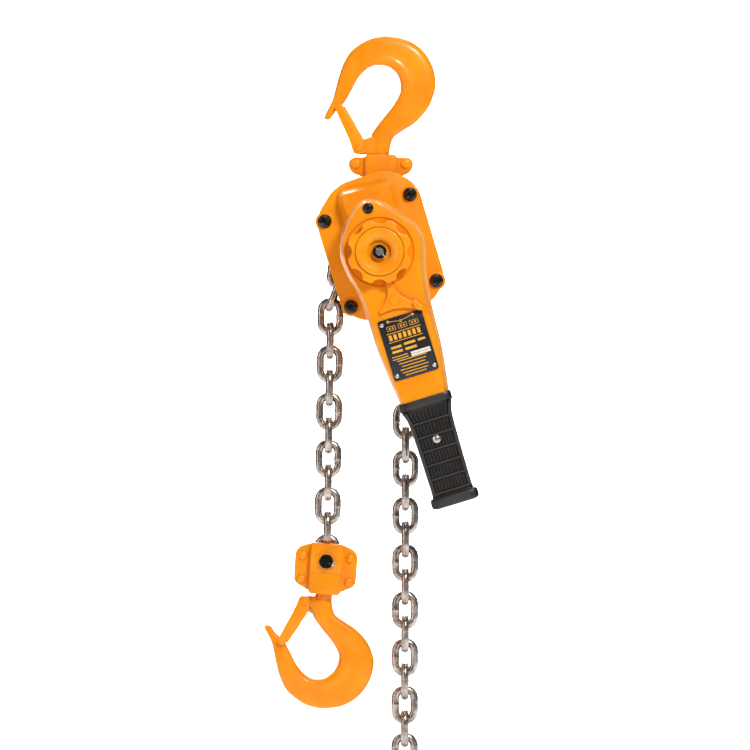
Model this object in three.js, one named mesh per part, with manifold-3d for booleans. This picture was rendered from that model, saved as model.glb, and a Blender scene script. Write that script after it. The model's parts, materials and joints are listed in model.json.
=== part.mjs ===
import * as THREE from "three";
import { mergeVertices } from "three/addons/utils/BufferGeometryUtils.js";
import Module from "manifold-3d";

// Lever chain hoist of the 2.5 t class, hanging unloaded from its top hook. Millimetres, +Z up.
// The origin is the point inside the crown of the top hook that bears on whatever holds the hoist.
// The lever side faces -Y, +X is to the right of somebody who faces it, and the chain lies in y = 0.

const wasm = await Module();
wasm.setup();
const rad = THREE.MathUtils.degToRad;

// Driving dimensions
const CLEAR = 0.3; // gap between two pieces that touch or run in each other
const SHEAVE_Z = -210; // height of the sheave and drive shaft axis
const BODY_TILT = 17; // degrees that the unloaded body hangs turned, right side up
const SUSPENSION_Z = -130; // height of the pin that hangs the body from the top yoke
const SHANK_X = 1.5; // the hook shank stands this far beside the bearing point
const BOTTOM_PIN = { x: -59.3, z: -553.6 };
const BOTTOM_TILT = 4.3; // degrees that the bottom yoke and hook hang turned

const CHAIN = { wire: 8.8, pitch: 26.4, innerWidth: 12.3, sides: 4, steps: 10 };
const SHEAVE = { pockets: 5, firstContact: 188.7, hub: 22, cheekInner: 5.3, cheekOuter: 14.5, bore: 6.5 };
const PLATE = { inner: 17, outer: 22 }; // distances of the side plates' faces from the chain plane
const FLANGE = { inner: 22.3, outer: 24.5 };
const STAYS = [[-48, 51.5], [51.5, 52.5], [51.5, -48], [-48, -48]];
const STAY = { radius: 7, thread: 4, nut: 7.7 };
const GEAR = { module: 2, pinion: 8, wheel: 24, spread: 32 };
const BRAKE = { halfWidth: 43, halfHeight: 49, wall: 2.4, front: -60, discRadius: 33, discTeeth: 20 };
const LEVER = { rear: -62.5, split: -76, front: -92, wall: 3, end: -171 };
const KNOB = { tip: 35.9, valley: 30.8, hollow: 10.5, lobes: 8, turned: 5.5,
  rear: -97.5, front: -113, cup: 12 };
const GRIP = { top: -171, bottom: -291, front: -94, rear: -60.5 };
const HOOK = { thickness: 22, edge: 5, shank: 9.6, collar: 13 };

// Colours of the finishes
const ENAMEL = "#f9a51b";
const CHAIN_STEEL = "#8d8a86";
const BLACK_STEEL = "#1d1d1f";
const BRIGHT_STEEL = "#c3c4c6";
const RUBBER = "#26272c";
const LINING = "#6b4f3a";
const PLATE_BLUE = "#1b2133";

const hoist = new THREE.Group();
const body = new THREE.Group(); // tilted frame whose origin is the sheave centre
body.position.set(0, 0, SHEAVE_Z);
body.rotation.y = -rad(BODY_TILT);
const upright = new THREE.Group(); // same origin, not tilted: what hangs under gravity
upright.position.set(0, 0, SHEAVE_Z);
const bottom = new THREE.Group(); // bottom yoke and hook, origin at the chain pin
bottom.position.set(BOTTOM_PIN.x, 0, BOTTOM_PIN.z);
bottom.rotation.y = rad(BOTTOM_TILT);
hoist.add(body, upright, bottom);

// Solids: three.js geometry in and out of boolean work
function solid(geometry) {
  geometry.deleteAttribute("normal");
  geometry.deleteAttribute("uv");
  const merged = mergeVertices(geometry, 1e-4);
  const corner = merged.index.array;
  const triangles = [];
  for (let i = 0; i < corner.length; i += 3) {
    const [a, b, c] = [corner[i], corner[i + 1], corner[i + 2]];
    if (a !== b && b !== c && a !== c) triangles.push(a, b, c);
  }
  return new wasm.Manifold(new wasm.Mesh({
    numProp: 3,
    vertProperties: Float32Array.from(merged.attributes.position.array),
    triVerts: Uint32Array.from(triangles),
  }));
}

function geometryOf(manifold) {
  const { vertProperties, triVerts } = manifold.getMesh();
  const geometry = new THREE.BufferGeometry();
  geometry.setAttribute("position", new THREE.BufferAttribute(vertProperties, 3));
  geometry.setIndex(new THREE.BufferAttribute(triVerts, 1));
  geometry.computeVertexNormals();
  return geometry;
}

const join = (...solids) => solids.reduce((whole, next) => whole.add(next));
const cut = (base, ...tools) => tools.reduce((rest, tool) => rest.subtract(tool), base);

function add(parent, name, shape, colour, roughness, metalness) {
  const material = new THREE.MeshStandardMaterial({ color: colour, roughness, metalness });
  const mesh = new THREE.Mesh(geometryOf(shape), material);
  mesh.name = name;
  parent.add(mesh);
  return mesh;
}

// A flat outline in X and Z, given thickness from y0 to y1, with an optional rounded edge. Points
// closer than half a millimetre, where two curves meet, are taken as one.
function slab(shape, y0, y1, edge = 0, inset = edge, curveSegments = 1) {
  const points = shape.getPoints(curveSegments);
  const distinct = points.filter((point, i) => point.distanceTo(points.at(i - 1)) > 0.5);
  const geometry = new THREE.ExtrudeGeometry(new THREE.Shape(distinct), {
    depth: y1 - y0 - 2 * edge,
    bevelEnabled: edge > 0,
    bevelThickness: edge,
    bevelSize: inset,
    bevelOffset: -inset,
    bevelSegments: 1,
  });
  geometry.rotateX(Math.PI / 2);
  geometry.translate(0, y1 - edge, 0);
  return solid(geometry);
}

// A round bar along Y.
function post(radius, y0, y1, x = 0, z = 0, sides = 16) {
  const geometry = new THREE.CylinderGeometry(radius, radius, y1 - y0, sides);
  geometry.translate(x, (y0 + y1) / 2, z);
  return solid(geometry);
}

// A round bar along Z.
function column(radius, z0, z1, x = 0, sides = 12) {
  const geometry = new THREE.CylinderGeometry(radius, radius, z1 - z0, sides);
  geometry.rotateX(Math.PI / 2);
  geometry.translate(x, 0, (z0 + z1) / 2);
  return solid(geometry);
}

// A turned piece about an axis along Y, from radius and y pairs that start and end on the axis.
function turned(profile, x = 0, z = 0, sides = 12) {
  const geometry = new THREE.LatheGeometry(profile.map(([r, y]) => new THREE.Vector2(r, y)), sides);
  geometry.translate(x, 0, z);
  return solid(geometry);
}

function block(x0, x1, y0, y1, z0, z1) {
  const geometry = new THREE.BoxGeometry(x1 - x0, y1 - y0, z1 - z0);
  geometry.translate((x0 + x1) / 2, (y0 + y1) / 2, (z0 + z1) / 2);
  return solid(geometry);
}

// An outline through corners, each rounded from a distance before it to the same distance after it:
// [x, z, distance]. A rounding never takes more than half of the shorter side beside it.
function rounded(corners) {
  const shape = new THREE.Shape();
  corners.forEach(([x, z, distance], i) => {
    const here = new THREE.Vector2(x, z);
    const toLast = new THREE.Vector2(...corners.at(i - 1).slice(0, 2)).sub(here);
    const toNext = new THREE.Vector2(...corners[(i + 1) % corners.length].slice(0, 2)).sub(here);
    const radius = Math.min(distance, toLast.length() / 2, toNext.length() / 2);
    const entry = here.clone().add(toLast.setLength(radius));
    const exit = here.clone().add(toNext.setLength(radius));
    if (i === 0) shape.moveTo(entry.x, entry.y);
    else shape.lineTo(entry.x, entry.y);
    if (radius) shape.quadraticCurveTo(x, z, exit.x, exit.y);
  });
  shape.closePath();
  return shape;
}

const through = (points) => points.map(([x, z]) => new THREE.Vector2(x, z));

// Hooks: right way up at the bottom and turned over at the top, with the shank along x = 0, the bearing
// point at (-SHANK_X, 0) and the mouth to the left. The lower hook has the shorter stem and nose.
function hookOutline(reach) {
  const bowl = { x: -SHANK_X, z: 24.5, r: 24.5 };
  const back = { x: 5.8, z: 20.6, r: 53.6 };
  const shape = new THREE.Shape();
  const arc = (circle, from, to) => {
    const steps = 3;
    for (let i = 0; i < steps; i++) {
      const [start, end] = [i, i + 1].map((n) => rad(from + ((to - from) * n) / steps));
      shape.absarc(circle.x, circle.z, circle.r, start, end, to < from);
    }
  };
  const raised = (points) => points.map(([x, z]) => new THREE.Vector2(x, z > 20 ? 20 + (z - 20) * reach : z));
  const spline = (...points) => shape.splineThru(raised(points));
  shape.moveTo(-9.7, raised([[0, 98.6]])[0].y);
  spline([-12.5, 87], [-9.7, 75.7], [1.7, 59.9], [13.1, 46.1], [22.2, 30.8]);
  arc(bowl, 15, -135);
  spline([-25, 14], [-33.6, 30.2], [-39.3, 40.4], [-51.2, 51.8], [-59.8, 62.1]);
  spline([-63.7, 58.6], [-60.9, 51.8], [-53.5, 37.1], [-46.6, 9.7], [-32.8, -16.6]);
  arc(back, 224, 360);
  spline([55.4, 39.3], [36.5, 65.6], [15.5, 79.2], [10.9, 90.6], [9.7, 98.6]);
  return shape;
}

function hookSolid({ reach, latch, shankEnd, collar }) {
  const forging = slab(hookOutline(reach), -HOOK.thickness / 2, HOOK.thickness / 2, HOOK.edge, 2);
  const { x, z } = latch;
  const lugFace = rounded([[-5, z - 13, 0], [-5, z + 5, 0], [x - 6, z + 5.5, 5], [x - 6, z - 6.5, 5]]);
  const lug = slab(lugFace, -9, 9);
  const shank = column(HOOK.shank, z - 5, shankEnd);
  const ring = column(HOOK.collar, collar, collar + 7);
  const pinHole = post(3 + CLEAR, -20, 20, x, z, 10);
  return cut(join(forging, lug, shank, ring), pinHole);
}

// Safety latch: a pressed channel whose two cheeks straddle the hook's nose.
function latchSolid({ latch: { x, z } }) {
  const cheekInner = HOOK.thickness / 2 + CLEAR;
  const cheekOuter = cheekInner + 1.6;
  const side = rounded([[x - 6, z + 6, 5], [x + 6, z + 6, 5], [x + 6, z - 10, 5],
    [x - 19.5, z - 51, 3], [x - 28, z - 47, 3], [x - 10, z - 8, 5]]);
  const cheeks = [slab(side, cheekInner, cheekOuter), slab(side, -cheekOuter, -cheekInner)];
  const web = new THREE.Shape(through([[x - 3.4, z - 25.7], [x - 5, z - 25.9], [x - 17, z - 45.5],
    [x - 15.4, z - 46.3]]));
  const bridge = slab(web, -cheekOuter, cheekOuter);
  const pinHole = post(3 + CLEAR, -20, 20, x, z, 10);
  return cut(join(...cheeks, bridge), pinHole);
}

function latchPin({ latch }) {
  const end = HOOK.thickness / 2 + CLEAR + 1.6 + CLEAR;
  return turned([[0, -end - 2], [3.5, -end - 1.4], [4.5, -end], [3, -end], [3, end], [4.5, end],
    [3.5, end + 1.4], [0, end + 2]], latch.x, latch.z, 10);
}

// A yoke half: forged block with ears, split in the plane of the chain. Pin along Y at (0, 0), the shank
// enters at z = shankFace. The rear half is the front half turned over.
function yokeHalf(side, { outline, core, depth, shankFace, collar, pin, hollows }) {
  const facing = (shape, near, far) => (side < 0 ? slab(shape, -far, -near) : slab(shape, near, far));
  const away = Math.sign(shankFace);
  const shankTip = away > 0 ? collar - 2.5 : collar + 9.5;
  const [bore0, bore1] = [shankTip, shankFace + 5 * away].sort((a, b) => a - b);
  const [ring0, ring1] = [collar - CLEAR, collar + 7 + CLEAR];
  let half = join(facing(outline, CLEAR / 2, 8.5), facing(core, CLEAR / 2, depth));
  half = cut(half, column(HOOK.shank + CLEAR, bore0, bore1), column(HOOK.collar + CLEAR, ring0, ring1));
  return cut(half, post(pin + CLEAR, -30, 30, 0, 0, 12), ...hollows);
}

const TOP_HOOK = { reach: 1, latch: { x: -24.4, z: 92.9 }, shankEnd: 117, collar: 108 };
const BOTTOM_HOOK = { reach: 0.86, latch: { x: -20.9, z: 84.5 }, shankEnd: 112, collar: 131.4 - 28.5 };

// Top hook group: turned over, so its mouth still opens to the left
const topHook = new THREE.Group();
topHook.rotation.x = Math.PI;
topHook.position.set(SHANK_X, 0, 0);
hoist.add(topHook);
add(topHook, "top_hook", hookSolid(TOP_HOOK), ENAMEL, 0.3, 0);
add(topHook, "top_latch", latchSolid(TOP_HOOK), ENAMEL, 0.3, 0);
add(topHook, "top_latch_pin", latchPin(TOP_HOOK), BRIGHT_STEEL, 0.35, 1);

const topYoke = new THREE.Group(); // origin at the suspension pin
topYoke.position.set(SHANK_X, 0, SUSPENSION_Z);
hoist.add(topYoke);
const topYokeForm = {
  outline: rounded([[-36, 27, 6], [36, 27, 6], [36, 12, 6], [13, 9, 0], [13, -11, 9], [-13, -11, 9],
    [-13, 9, 0], [-36, 12, 6]]),
  core: rounded([[-18.5, 30.5, 5], [18.5, 30.5, 5], [18.5, 8, 4], [12, -10, 8], [-12, -10, 8],
    [-18.5, 8, 4]]),
  depth: 15,
  shankFace: 30.5,
  collar: 15,
  pin: 6,
  hollows: [],
};
const TOP_RIVETS = [-28, 28];
const TOP_RIVET_Z = 20.5;

function rivet(x, z, face, shank, head) {
  return turned([[0, -face - 4], [head * 0.6, -face - 3.2], [head, -face - CLEAR], [shank, -face - CLEAR],
    [shank, face + CLEAR], [head, face + CLEAR], [head * 0.6, face + 3.2], [0, face + 4]], x, z, 10);
}

for (const [side, name] of [[-1, "top_yoke_front"], [1, "top_yoke_rear"]]) {
  const holes = TOP_RIVETS.map((x) => post(4 + CLEAR, -30, 30, x, TOP_RIVET_Z, 12));
  add(topYoke, name, cut(yokeHalf(side, topYokeForm), ...holes), ENAMEL, 0.3, 0);
}
TOP_RIVETS.forEach((x, i) => {
  add(topYoke, `top_yoke_rivet_${i + 1}`, rivet(x, TOP_RIVET_Z, 8.5, 4, 6.3), ENAMEL, 0.3, 0);
});

// Body frame: side plates, stays and covers. x runs to the right and z upwards along the tilted body.
const PIN = new THREE.Vector2(SHANK_X, SUSPENSION_Z - SHEAVE_Z)
  .rotateAround(new THREE.Vector2(), -rad(BODY_TILT)); // suspension pin seen from the tilted body
const plateOutline = rounded([[-58, 58, 16], [-24.5, 86.5, 14], [36, 88, 14], [63, 62, 14],
  [62, -50, 12], [40, -70, 12], [-35, -70, 12], [-58, -51, 10]]);

function sidePlate(side) {
  const [y0, y1] = side < 0 ? [-PLATE.outer, -PLATE.inner] : [PLATE.inner, PLATE.outer];
  const holes = STAYS.map(([x, z]) => post(STAY.thread + CLEAR, y0 - 1, y1 + 1, x, z, 10));
  holes.push(post(22 + CLEAR, y0 - 1, y1 + 1, 0, 0, 24));
  holes.push(post(6 + CLEAR, y0 - 1, y1 + 1, PIN.x, PIN.y, 12));
  if (side > 0) {
    for (const z of [-GEAR.spread, GEAR.spread]) holes.push(post(5 + CLEAR, y0 - 1, y1 + 1, 0, z, 16));
  }
  return cut(slab(plateOutline, y0, y1), ...holes);
}

const PAWL_STUDS = [[14, 38.5], [-14, -38.5]];
const studs = PAWL_STUDS.map(([x, z]) => post(3.5, -45, -PLATE.outer + 1, x, z, 10));
add(body, "front_side_plate", join(sidePlate(-1), ...studs), ENAMEL, 0.35, 0);
add(body, "rear_side_plate", sidePlate(1), ENAMEL, 0.35, 0);
add(body, "suspension_pin", post(6, -PLATE.outer, PLATE.outer, PIN.x, PIN.y, 12), BRIGHT_STEEL, 0.4, 1);

STAYS.forEach(([x, z], i) => {
  const shoulder = PLATE.inner - CLEAR;
  const head = FLANGE.outer + CLEAR;
  const stay = turned([[0, -31], [STAY.thread, -31], [STAY.thread, -shoulder], [STAY.radius, -shoulder],
    [STAY.radius, shoulder], [STAY.thread, shoulder], [STAY.thread, head], [STAY.nut, head],
    [STAY.nut, head + 5], [STAY.thread, head + 8], [0, head + 8.5]], x, z, 8);
  add(body, `stay_bolt_${i + 1}`, stay, BLACK_STEEL, 0.3, 0.9);
  const bore = STAY.thread + CLEAR;
  const nut = turned([[bore, -head], [bore, -head - 7.5], [6.4, -head - 5], [6.6, -head - 1.8],
    [STAY.nut, -head - 1.5], [STAY.nut, -head], [bore, -head]], x, z, 8);
  add(body, `stay_nut_${i + 1}`, nut, BLACK_STEEL, 0.3, 0.9);
});

function coverFlange(side) {
  const [y0, y1] = side < 0 ? [-FLANGE.outer, -FLANGE.inner] : [FLANGE.inner, FLANGE.outer];
  const holes = STAYS.map(([x, z]) => post(STAY.thread + CLEAR, y0 - 1, y1 + 1, x, z, 10));
  return cut(slab(plateOutline, y0, y1), ...holes);
}

function brakeCover() {
  const tower = (inset) => rounded([[-29 + inset, 0, 0], [-28 + inset, 79 - inset, 8],
    [36 - inset, 76 - inset, 8], [37.5 - inset, 0, 0]]);
  const towerFront = -46;
  const wide = BRAKE.halfWidth;
  const high = BRAKE.halfHeight;
  const drum = (inset) => rounded([[-wide + inset, -30, 16], [-wide + inset, 30, 16],
    [-24, high - inset, 14], [24, high - inset, 14], [wide - inset, 30, 16], [wide - inset, -30, 16],
    [24, -high + inset, 14], [-24, -high + inset, 14]]);
  const outside = join(coverFlange(-1), slab(drum(0), BRAKE.front, -FLANGE.inner),
    slab(tower(0), towerFront, -FLANGE.inner));
  return cut(outside, slab(drum(BRAKE.wall), BRAKE.front + BRAKE.wall, -20),
    slab(tower(BRAKE.wall), towerFront + BRAKE.wall, -20), post(26, -70, -50, 0, 0, 24));
}

function gearCover() {
  const dome = (inset) => rounded([[-38 + inset, 66 - inset, 24], [42 - inset, 66 - inset, 24],
    [42 - inset, -64 + inset, 24], [-38 + inset, -64 + inset, 24]]);
  const outside = join(coverFlange(1), slab(dome(0), FLANGE.inner, 62, 3));
  return cut(outside, slab(dome(BRAKE.wall), 20, 62 - BRAKE.wall));
}

add(body, "brake_cover", brakeCover(), ENAMEL, 0.3, 0);
add(body, "gear_cover", gearCover(), ENAMEL, 0.3, 0);

for (const [side, name] of [[-1, "bearing_front"], [1, "bearing_rear"]]) {
  const [y0, y1] = side < 0 ? [-PLATE.outer, -PLATE.inner] : [PLATE.inner, PLATE.outer];
  const ring = cut(post(22, y0, y1, 0, 0, 24), post(16 + CLEAR, y0 - 1, y1 + 1, 0, 0, 24));
  add(body, name, ring, BRIGHT_STEEL, 0.35, 1);
}

// The chain guide is a short chute that keeps the slack strand off the sheave.
const guide = cut(block(7.5, 50.5, -16.7, 16.7, -78, -54), block(10, 48, -15.3, 15.3, -90, -40));
add(upright, "chain_guide", guide, BRIGHT_STEEL, 0.45, 1);

// Gears: straight teeth with flat flanks, thinned so that they always run free
function gearOutline(teeth, phase, module = GEAR.module) {
  const pitch = (teeth * module) / 2;
  const step = (2 * Math.PI) / teeth;
  const levels = [[-0.34, pitch - 1.15 * module], [-0.13, pitch + 0.75 * module],
    [0.13, pitch + 0.75 * module], [0.34, pitch - 1.15 * module]];
  const points = [];
  for (let tooth = 0; tooth < teeth; tooth++) {
    for (const [shift, r] of levels) {
      const angle = phase + (tooth + shift) * step;
      points.push(new THREE.Vector2(r * Math.cos(angle), r * Math.sin(angle)));
    }
  }
  return new THREE.Shape(points);
}

const UP = Math.PI / 2;
const halfTooth = (teeth) => Math.PI / teeth;

// Load sheave: two five-sided cheeks carry the flat links, the slot between them takes the standing ones.
function sheaveSolid() {
  const flatAngle = rad(SHEAVE.firstContact - 180 / SHEAVE.pockets / 2 - BODY_TILT);
  const apothem = 35.9;
  const crown = 42;
  const outline = new THREE.Shape();
  const half = Math.acos(apothem / crown);
  for (let i = 0; i < SHEAVE.pockets; i++) {
    const middle = flatAngle + (i * 2 * Math.PI) / SHEAVE.pockets;
    const next = middle + (2 * Math.PI) / SHEAVE.pockets;
    for (const angle of [middle - half, middle + half, (middle + next) / 2]) {
      const [x, z] = [crown * Math.cos(angle), crown * Math.sin(angle)];
      if (outline.curves.length || outline.currentPoint.x) outline.lineTo(x, z);
      else outline.moveTo(x, z);
    }
  }
  outline.closePath();
  const cheeks = [slab(outline, SHEAVE.cheekInner, SHEAVE.cheekOuter),
    slab(outline, -SHEAVE.cheekOuter, -SHEAVE.cheekInner)];
  const hub = post(SHEAVE.hub, -SHEAVE.cheekInner - 1, SHEAVE.cheekInner + 1, 0, 0, 20);
  const journals = post(16, -PLATE.outer, PLATE.outer, 0, 0, 24);
  const spline = post(12, PLATE.outer - 1, 31, 0, 0, 20);
  return cut(join(...cheeks, hub, journals, spline), post(SHEAVE.bore, -40, 40, 0, 0, 16));
}

add(body, "load_sheave", sheaveSolid(), CHAIN_STEEL, 0.45, 1);
const loadGear = cut(slab(gearOutline(GEAR.wheel, UP), 25.5, 31), post(12 + CLEAR, 20, 40, 0, 0, 20));
add(body, "load_gear", loadGear, BRIGHT_STEEL, 0.4, 1);

[1, -1].forEach((side, i) => {
  const toSun = side > 0 ? -UP : UP;
  const wheel = slab(gearOutline(GEAR.wheel, toSun + halfTooth(GEAR.wheel)), 48, 56);
  const pinion = slab(gearOutline(GEAR.pinion, toSun + halfTooth(GEAR.pinion)), 25.2, 34);
  const cluster = join(wheel, pinion, post(5, PLATE.inner + 0.5, 59.2, 0, 0, 16));
  const mesh = add(body, `intermediate_gear_${i + 1}`, cluster, BRIGHT_STEEL, 0.4, 1);
  mesh.position.set(0, 0, side * GEAR.spread);
});

// Drive shaft with its pinion behind and its threaded end in front
const shaft = join(post(6, -103, 57, 0, 0, 16), post(4.6, -113, -102, 0, 0, 12),
  slab(gearOutline(GEAR.pinion, UP), 47, 57));
add(body, "drive_shaft", shaft, BRIGHT_STEEL, 0.4, 1);

const onShaft = (...pieces) => cut(join(...pieces), post(6 + CLEAR, -120, 120, 0, 0, 16));
const discHub = onShaft(post(30, -33, -27, 0, 0, 24), post(14, -44, -30, 0, 0, 20));
add(body, "disc_hub", discHub, BLACK_STEEL, 0.5, 1);

function frictionDisc(y0, y1) {
  return cut(post(30, y0, y1, 0, 0, 24), post(14 + 2 * CLEAR, y0 - 1, y1 + 1, 0, 0, 20));
}
add(body, "friction_disc_inner", frictionDisc(-35.8, -33.3), LINING, 0.9, 0);
add(body, "friction_disc_outer", frictionDisc(-44.2, -41.7), LINING, 0.9, 0);

// Ratchet disc with saw teeth, held against turning back by two pawls
function ratchetOutline(radius, depth, teeth) {
  const points = [];
  for (let i = 0; i < teeth; i++) {
    const start = (i * 2 * Math.PI) / teeth;
    points.push(new THREE.Vector2(radius * Math.cos(start), radius * Math.sin(start)));
    const root = radius - depth;
    const end = start + (1.7 * Math.PI) / teeth;
    points.push(new THREE.Vector2(root * Math.cos(end), root * Math.sin(end)));
  }
  return new THREE.Shape(points);
}
const ratchet = slab(ratchetOutline(BRAKE.discRadius, 3.5, BRAKE.discTeeth), -41.4, -36.1);
add(body, "ratchet_disc", cut(ratchet, post(14 + 2 * CLEAR, -50, -30, 0, 0, 20)), BRIGHT_STEEL, 0.45, 1);

PAWL_STUDS.forEach(([x, z], i) => {
  const finger = rounded([[-5, -5, 3], [5, -5, 3], [5, 5, 3], [-5, 5, 2], [-20, -1.5, 1], [-19.5, -4.5, 1]]);
  const pawl = cut(slab(finger, -42, -35.5), post(3.5 + CLEAR, -60, -20, 0, 0, 12));
  const mesh = add(body, `pawl_${i + 1}`, pawl, BLACK_STEEL, 0.5, 1);
  mesh.position.set(x, 0, z);
  if (i === 1) mesh.rotation.y = Math.PI;
});

// The change gear presses the brake discs and carries the teeth that the lever drives.
const changeGear = onShaft(post(30, -49.5, -44.5, 0, 0, 24), post(17, -84, -49, 0, 0, 24),
  slab(ratchetOutline(22, 3.2, 14), -84, -68));
add(body, "change_gear", changeGear, BLACK_STEEL, 0.5, 1);

// Free-wheel knob: scalloped rim, dished face and a cup round the nut
function knobOutline(tip, valley) {
  const shape = new THREE.Shape();
  const perHollow = 10;
  const step = (2 * Math.PI) / (KNOB.lobes * perHollow);
  const centre = valley + KNOB.hollow;
  for (let i = 0; i < KNOB.lobes * perHollow; i++) {
    const angle = THREE.MathUtils.degToRad(KNOB.turned) + i * step;
    const fromMiddle = ((i % perHollow) - perHollow / 2) * step;
    const reach = KNOB.hollow ** 2 - (centre * Math.sin(fromMiddle)) ** 2;
    const r = reach > 0 ? Math.min(tip, centre * Math.cos(fromMiddle) - Math.sqrt(reach)) : tip;
    if (i === 0) shape.moveTo(r * Math.cos(angle), r * Math.sin(angle));
    else shape.lineTo(r * Math.cos(angle), r * Math.sin(angle));
  }
  shape.closePath();
  return shape;
}

function knobSolid() {
  const rim = slab(knobOutline(KNOB.tip, KNOB.valley), KNOB.front + 3, KNOB.rear, 2);
  const face = turned([[0, KNOB.front], [24, KNOB.front], [26.9, KNOB.front + 3.5],
    [26.9, KNOB.front + 6], [0, KNOB.front + 6]], 0, 0, 24);
  const hub = post(14, KNOB.rear - 1, -86, 0, 0, 20);
  const dish = turned([[0, KNOB.front - 2], [21, KNOB.front - 1], [KNOB.cup + 1, KNOB.front + 3],
    [KNOB.cup, -94.5], [0, -94.5]], 0, 0, 24);
  return cut(join(rim, face, hub), dish, post(6 + 2 * CLEAR, -120, -80, 0, 0, 16));
}
add(body, "free_wheel_knob", knobSolid(), ENAMEL, 0.3, 0);

function castleNut(radius, y0, y1, bore) {
  const slotWidth = 2.6;
  const length = y1 - y0;
  const tower = radius * 0.82;
  const nut = join(post(radius, y0 + length * 0.4, y1, 0, 0, 6), post(tower, y0, y1, 0, 0, 18));
  const slots = [0, 60, 120].map((angle) => {
    const slot = new THREE.BoxGeometry(3 * radius, length * 0.6, slotWidth);
    slot.rotateY(rad(angle));
    slot.translate(0, y0, 0);
    return solid(slot);
  });
  return cut(nut, ...slots, post(bore + CLEAR, y0 - 1, y1 + 1, 0, 0, 16));
}
add(body, "shaft_nut", castleNut(7.5, -111, -103.4, 4.6), BLACK_STEEL, 0.35, 0.9);

// Lever: two pressed shells, the front one dished round the knob
function leverOutline(inset) {
  const w = inset;
  return rounded([[-10 + w, 61 - w, 8], [5, 65 - w, 8], [17 - w, 58 - w, 8], [36 - w, 35 - w, 14],
    [51 - w, 14, 14], [51.5 - w, -8, 16], [43.5 - w, -31, 14], [39 - w, -60, 14], [36.5 - w, -112, 12],
    [35 - w, -128, 8], [27.5 - w, LEVER.end + w, 1], [-26.6 + w, LEVER.end + w, 1], [-32.6 + w, -126, 8],
    [-35 + w, -100, 12], [-34.5 + w, -60, 14], [-36.5 + w, -36, 14], [-44 + w, -10, 16], [-44 + w, 16, 16],
    [-29 + w, 40 - w, 12]]);
}
const PLUG = { x: 1.8, z: 49.7 };
const SELECTOR_Z = -55.9;
const GRIP_SCREW_Z = -215.6;

function leverFrontShell() {
  const recess = 39;
  const shell = slab(leverOutline(0), LEVER.front, LEVER.split - CLEAR);
  const hollow = cut(slab(leverOutline(LEVER.wall), LEVER.front + LEVER.wall, LEVER.split + 1),
    post(recess + LEVER.wall, LEVER.front, LEVER.front + 7, 0, 0, 24));
  return cut(shell, hollow, post(recess, LEVER.front - 1, LEVER.front + 4, 0, 0, 24),
    post(24, LEVER.front - 1, LEVER.split + 1, 0, 0, 24),
    post(4 + CLEAR, LEVER.front - 1, LEVER.front + 5, PLUG.x, PLUG.z, 12),
    post(4 + CLEAR, LEVER.front - 1, LEVER.front + 5, 0, SELECTOR_Z, 12));
}

function leverRearShell() {
  const shell = slab(leverOutline(0), LEVER.split, LEVER.rear);
  const hollow = slab(leverOutline(LEVER.wall), LEVER.split - 1, LEVER.rear - LEVER.wall);
  const tongue = block(-14, 14, LEVER.split, -66, GRIP.bottom + 8, LEVER.end + 5);
  const screwHole = post(3 + CLEAR, -90, -60, 0, GRIP_SCREW_Z, 12);
  return cut(join(cut(shell, hollow), tongue), post(19, -80, -50, 0, 0, 24), screwHole);
}
add(body, "lever_front_shell", leverFrontShell(), ENAMEL, 0.3, 0);
add(body, "lever_rear_shell", leverRearShell(), ENAMEL, 0.3, 0);

const plug = turned([[0, -95.5], [3, -95.2], [6, -93.4], [6, LEVER.front - CLEAR], [4, LEVER.front - CLEAR],
  [4, LEVER.front + 4], [0, LEVER.front + 4]], PLUG.x, PLUG.z, 16);
add(body, "lever_plug", plug, BLACK_STEEL, 0.3, 0);

const plateFace = rounded([[-25.5, -73.4, 3], [25.5, -73.4, 3], [25.5, -142.2, 3], [-25.5, -142.2, 3]]);
const plateBack = LEVER.front - CLEAR;
add(body, "name_plate", slab(plateFace, plateBack - 1.2, plateBack), PLATE_BLUE, 0.35, 0.2);

// Direction selector on the lever's face, with its pawl inside the lever on the same stem
const selectorFace = rounded([[-3.4, -35, 1], [3.4, -35, 1], [4, -48, 4], [11, -55, 4], [28.4, -73.5, 1.5],
  [24, -75.5, 1.5], [8, -66, 5], [-8, -63.5, 5], [-19.3, -63, 1.5], [-18.5, -60, 1.5], [-7, -52, 4],
  [-4, -46, 4]]);
const selector = join(slab(selectorFace, -97, -94), post(5.6, -98.5, LEVER.front - CLEAR, 0, SELECTOR_Z, 16),
  post(4, LEVER.front - 1, -71, 0, SELECTOR_Z, 12));
add(body, "selector_lever", selector, ENAMEL, 0.3, 0);
const pawlFace = rounded([[-8, -64, 5], [8, -64, 5], [7, -45, 4], [10, -27, 1.5], [0, -32, 3],
  [-10, -27, 1.5], [-7, -45, 4]]);
const changePawl = cut(slab(pawlFace, -82, -72), post(4 + CLEAR, -90, -60, 0, SELECTOR_Z, 12));
add(body, "change_pawl", changePawl, BLACK_STEEL, 0.5, 1);

// Grip moulded over the lever's tongue
function gripSolid() {
  const half = [[30.3, GRIP.top - 0.5, 3], [30.3, GRIP.top - 8, 3], [25.5, GRIP.top - 16, 6], [23.3, -274, 4],
    [27.2, -280, 4], [27.2, -289, 6], [18, GRIP.bottom, 5]];
  const left = half.map(([x, z, r]) => [-x, z, r]).reverse();
  const hole = [post(3 + CLEAR, -100, -50, 0, GRIP_SCREW_Z, 12)];
  const slot = block(-14 - CLEAR, 14 + CLEAR, LEVER.split - CLEAR, -66 + CLEAR, GRIP.bottom + 7, GRIP.top + 1);
  return cut(slab(rounded([...half, ...left]), GRIP.front, GRIP.rear, 4, 1.2), slot, ...hole);
}
add(body, "grip", gripSolid(), RUBBER, 0.75, 0);
const gripScrew = turned([[0, -97], [3.5, -96.4], [5.2, GRIP.front - CLEAR], [3, GRIP.front - CLEAR],
  [3, -66], [0, -66]], 0, GRIP_SCREW_Z, 14);
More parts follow.
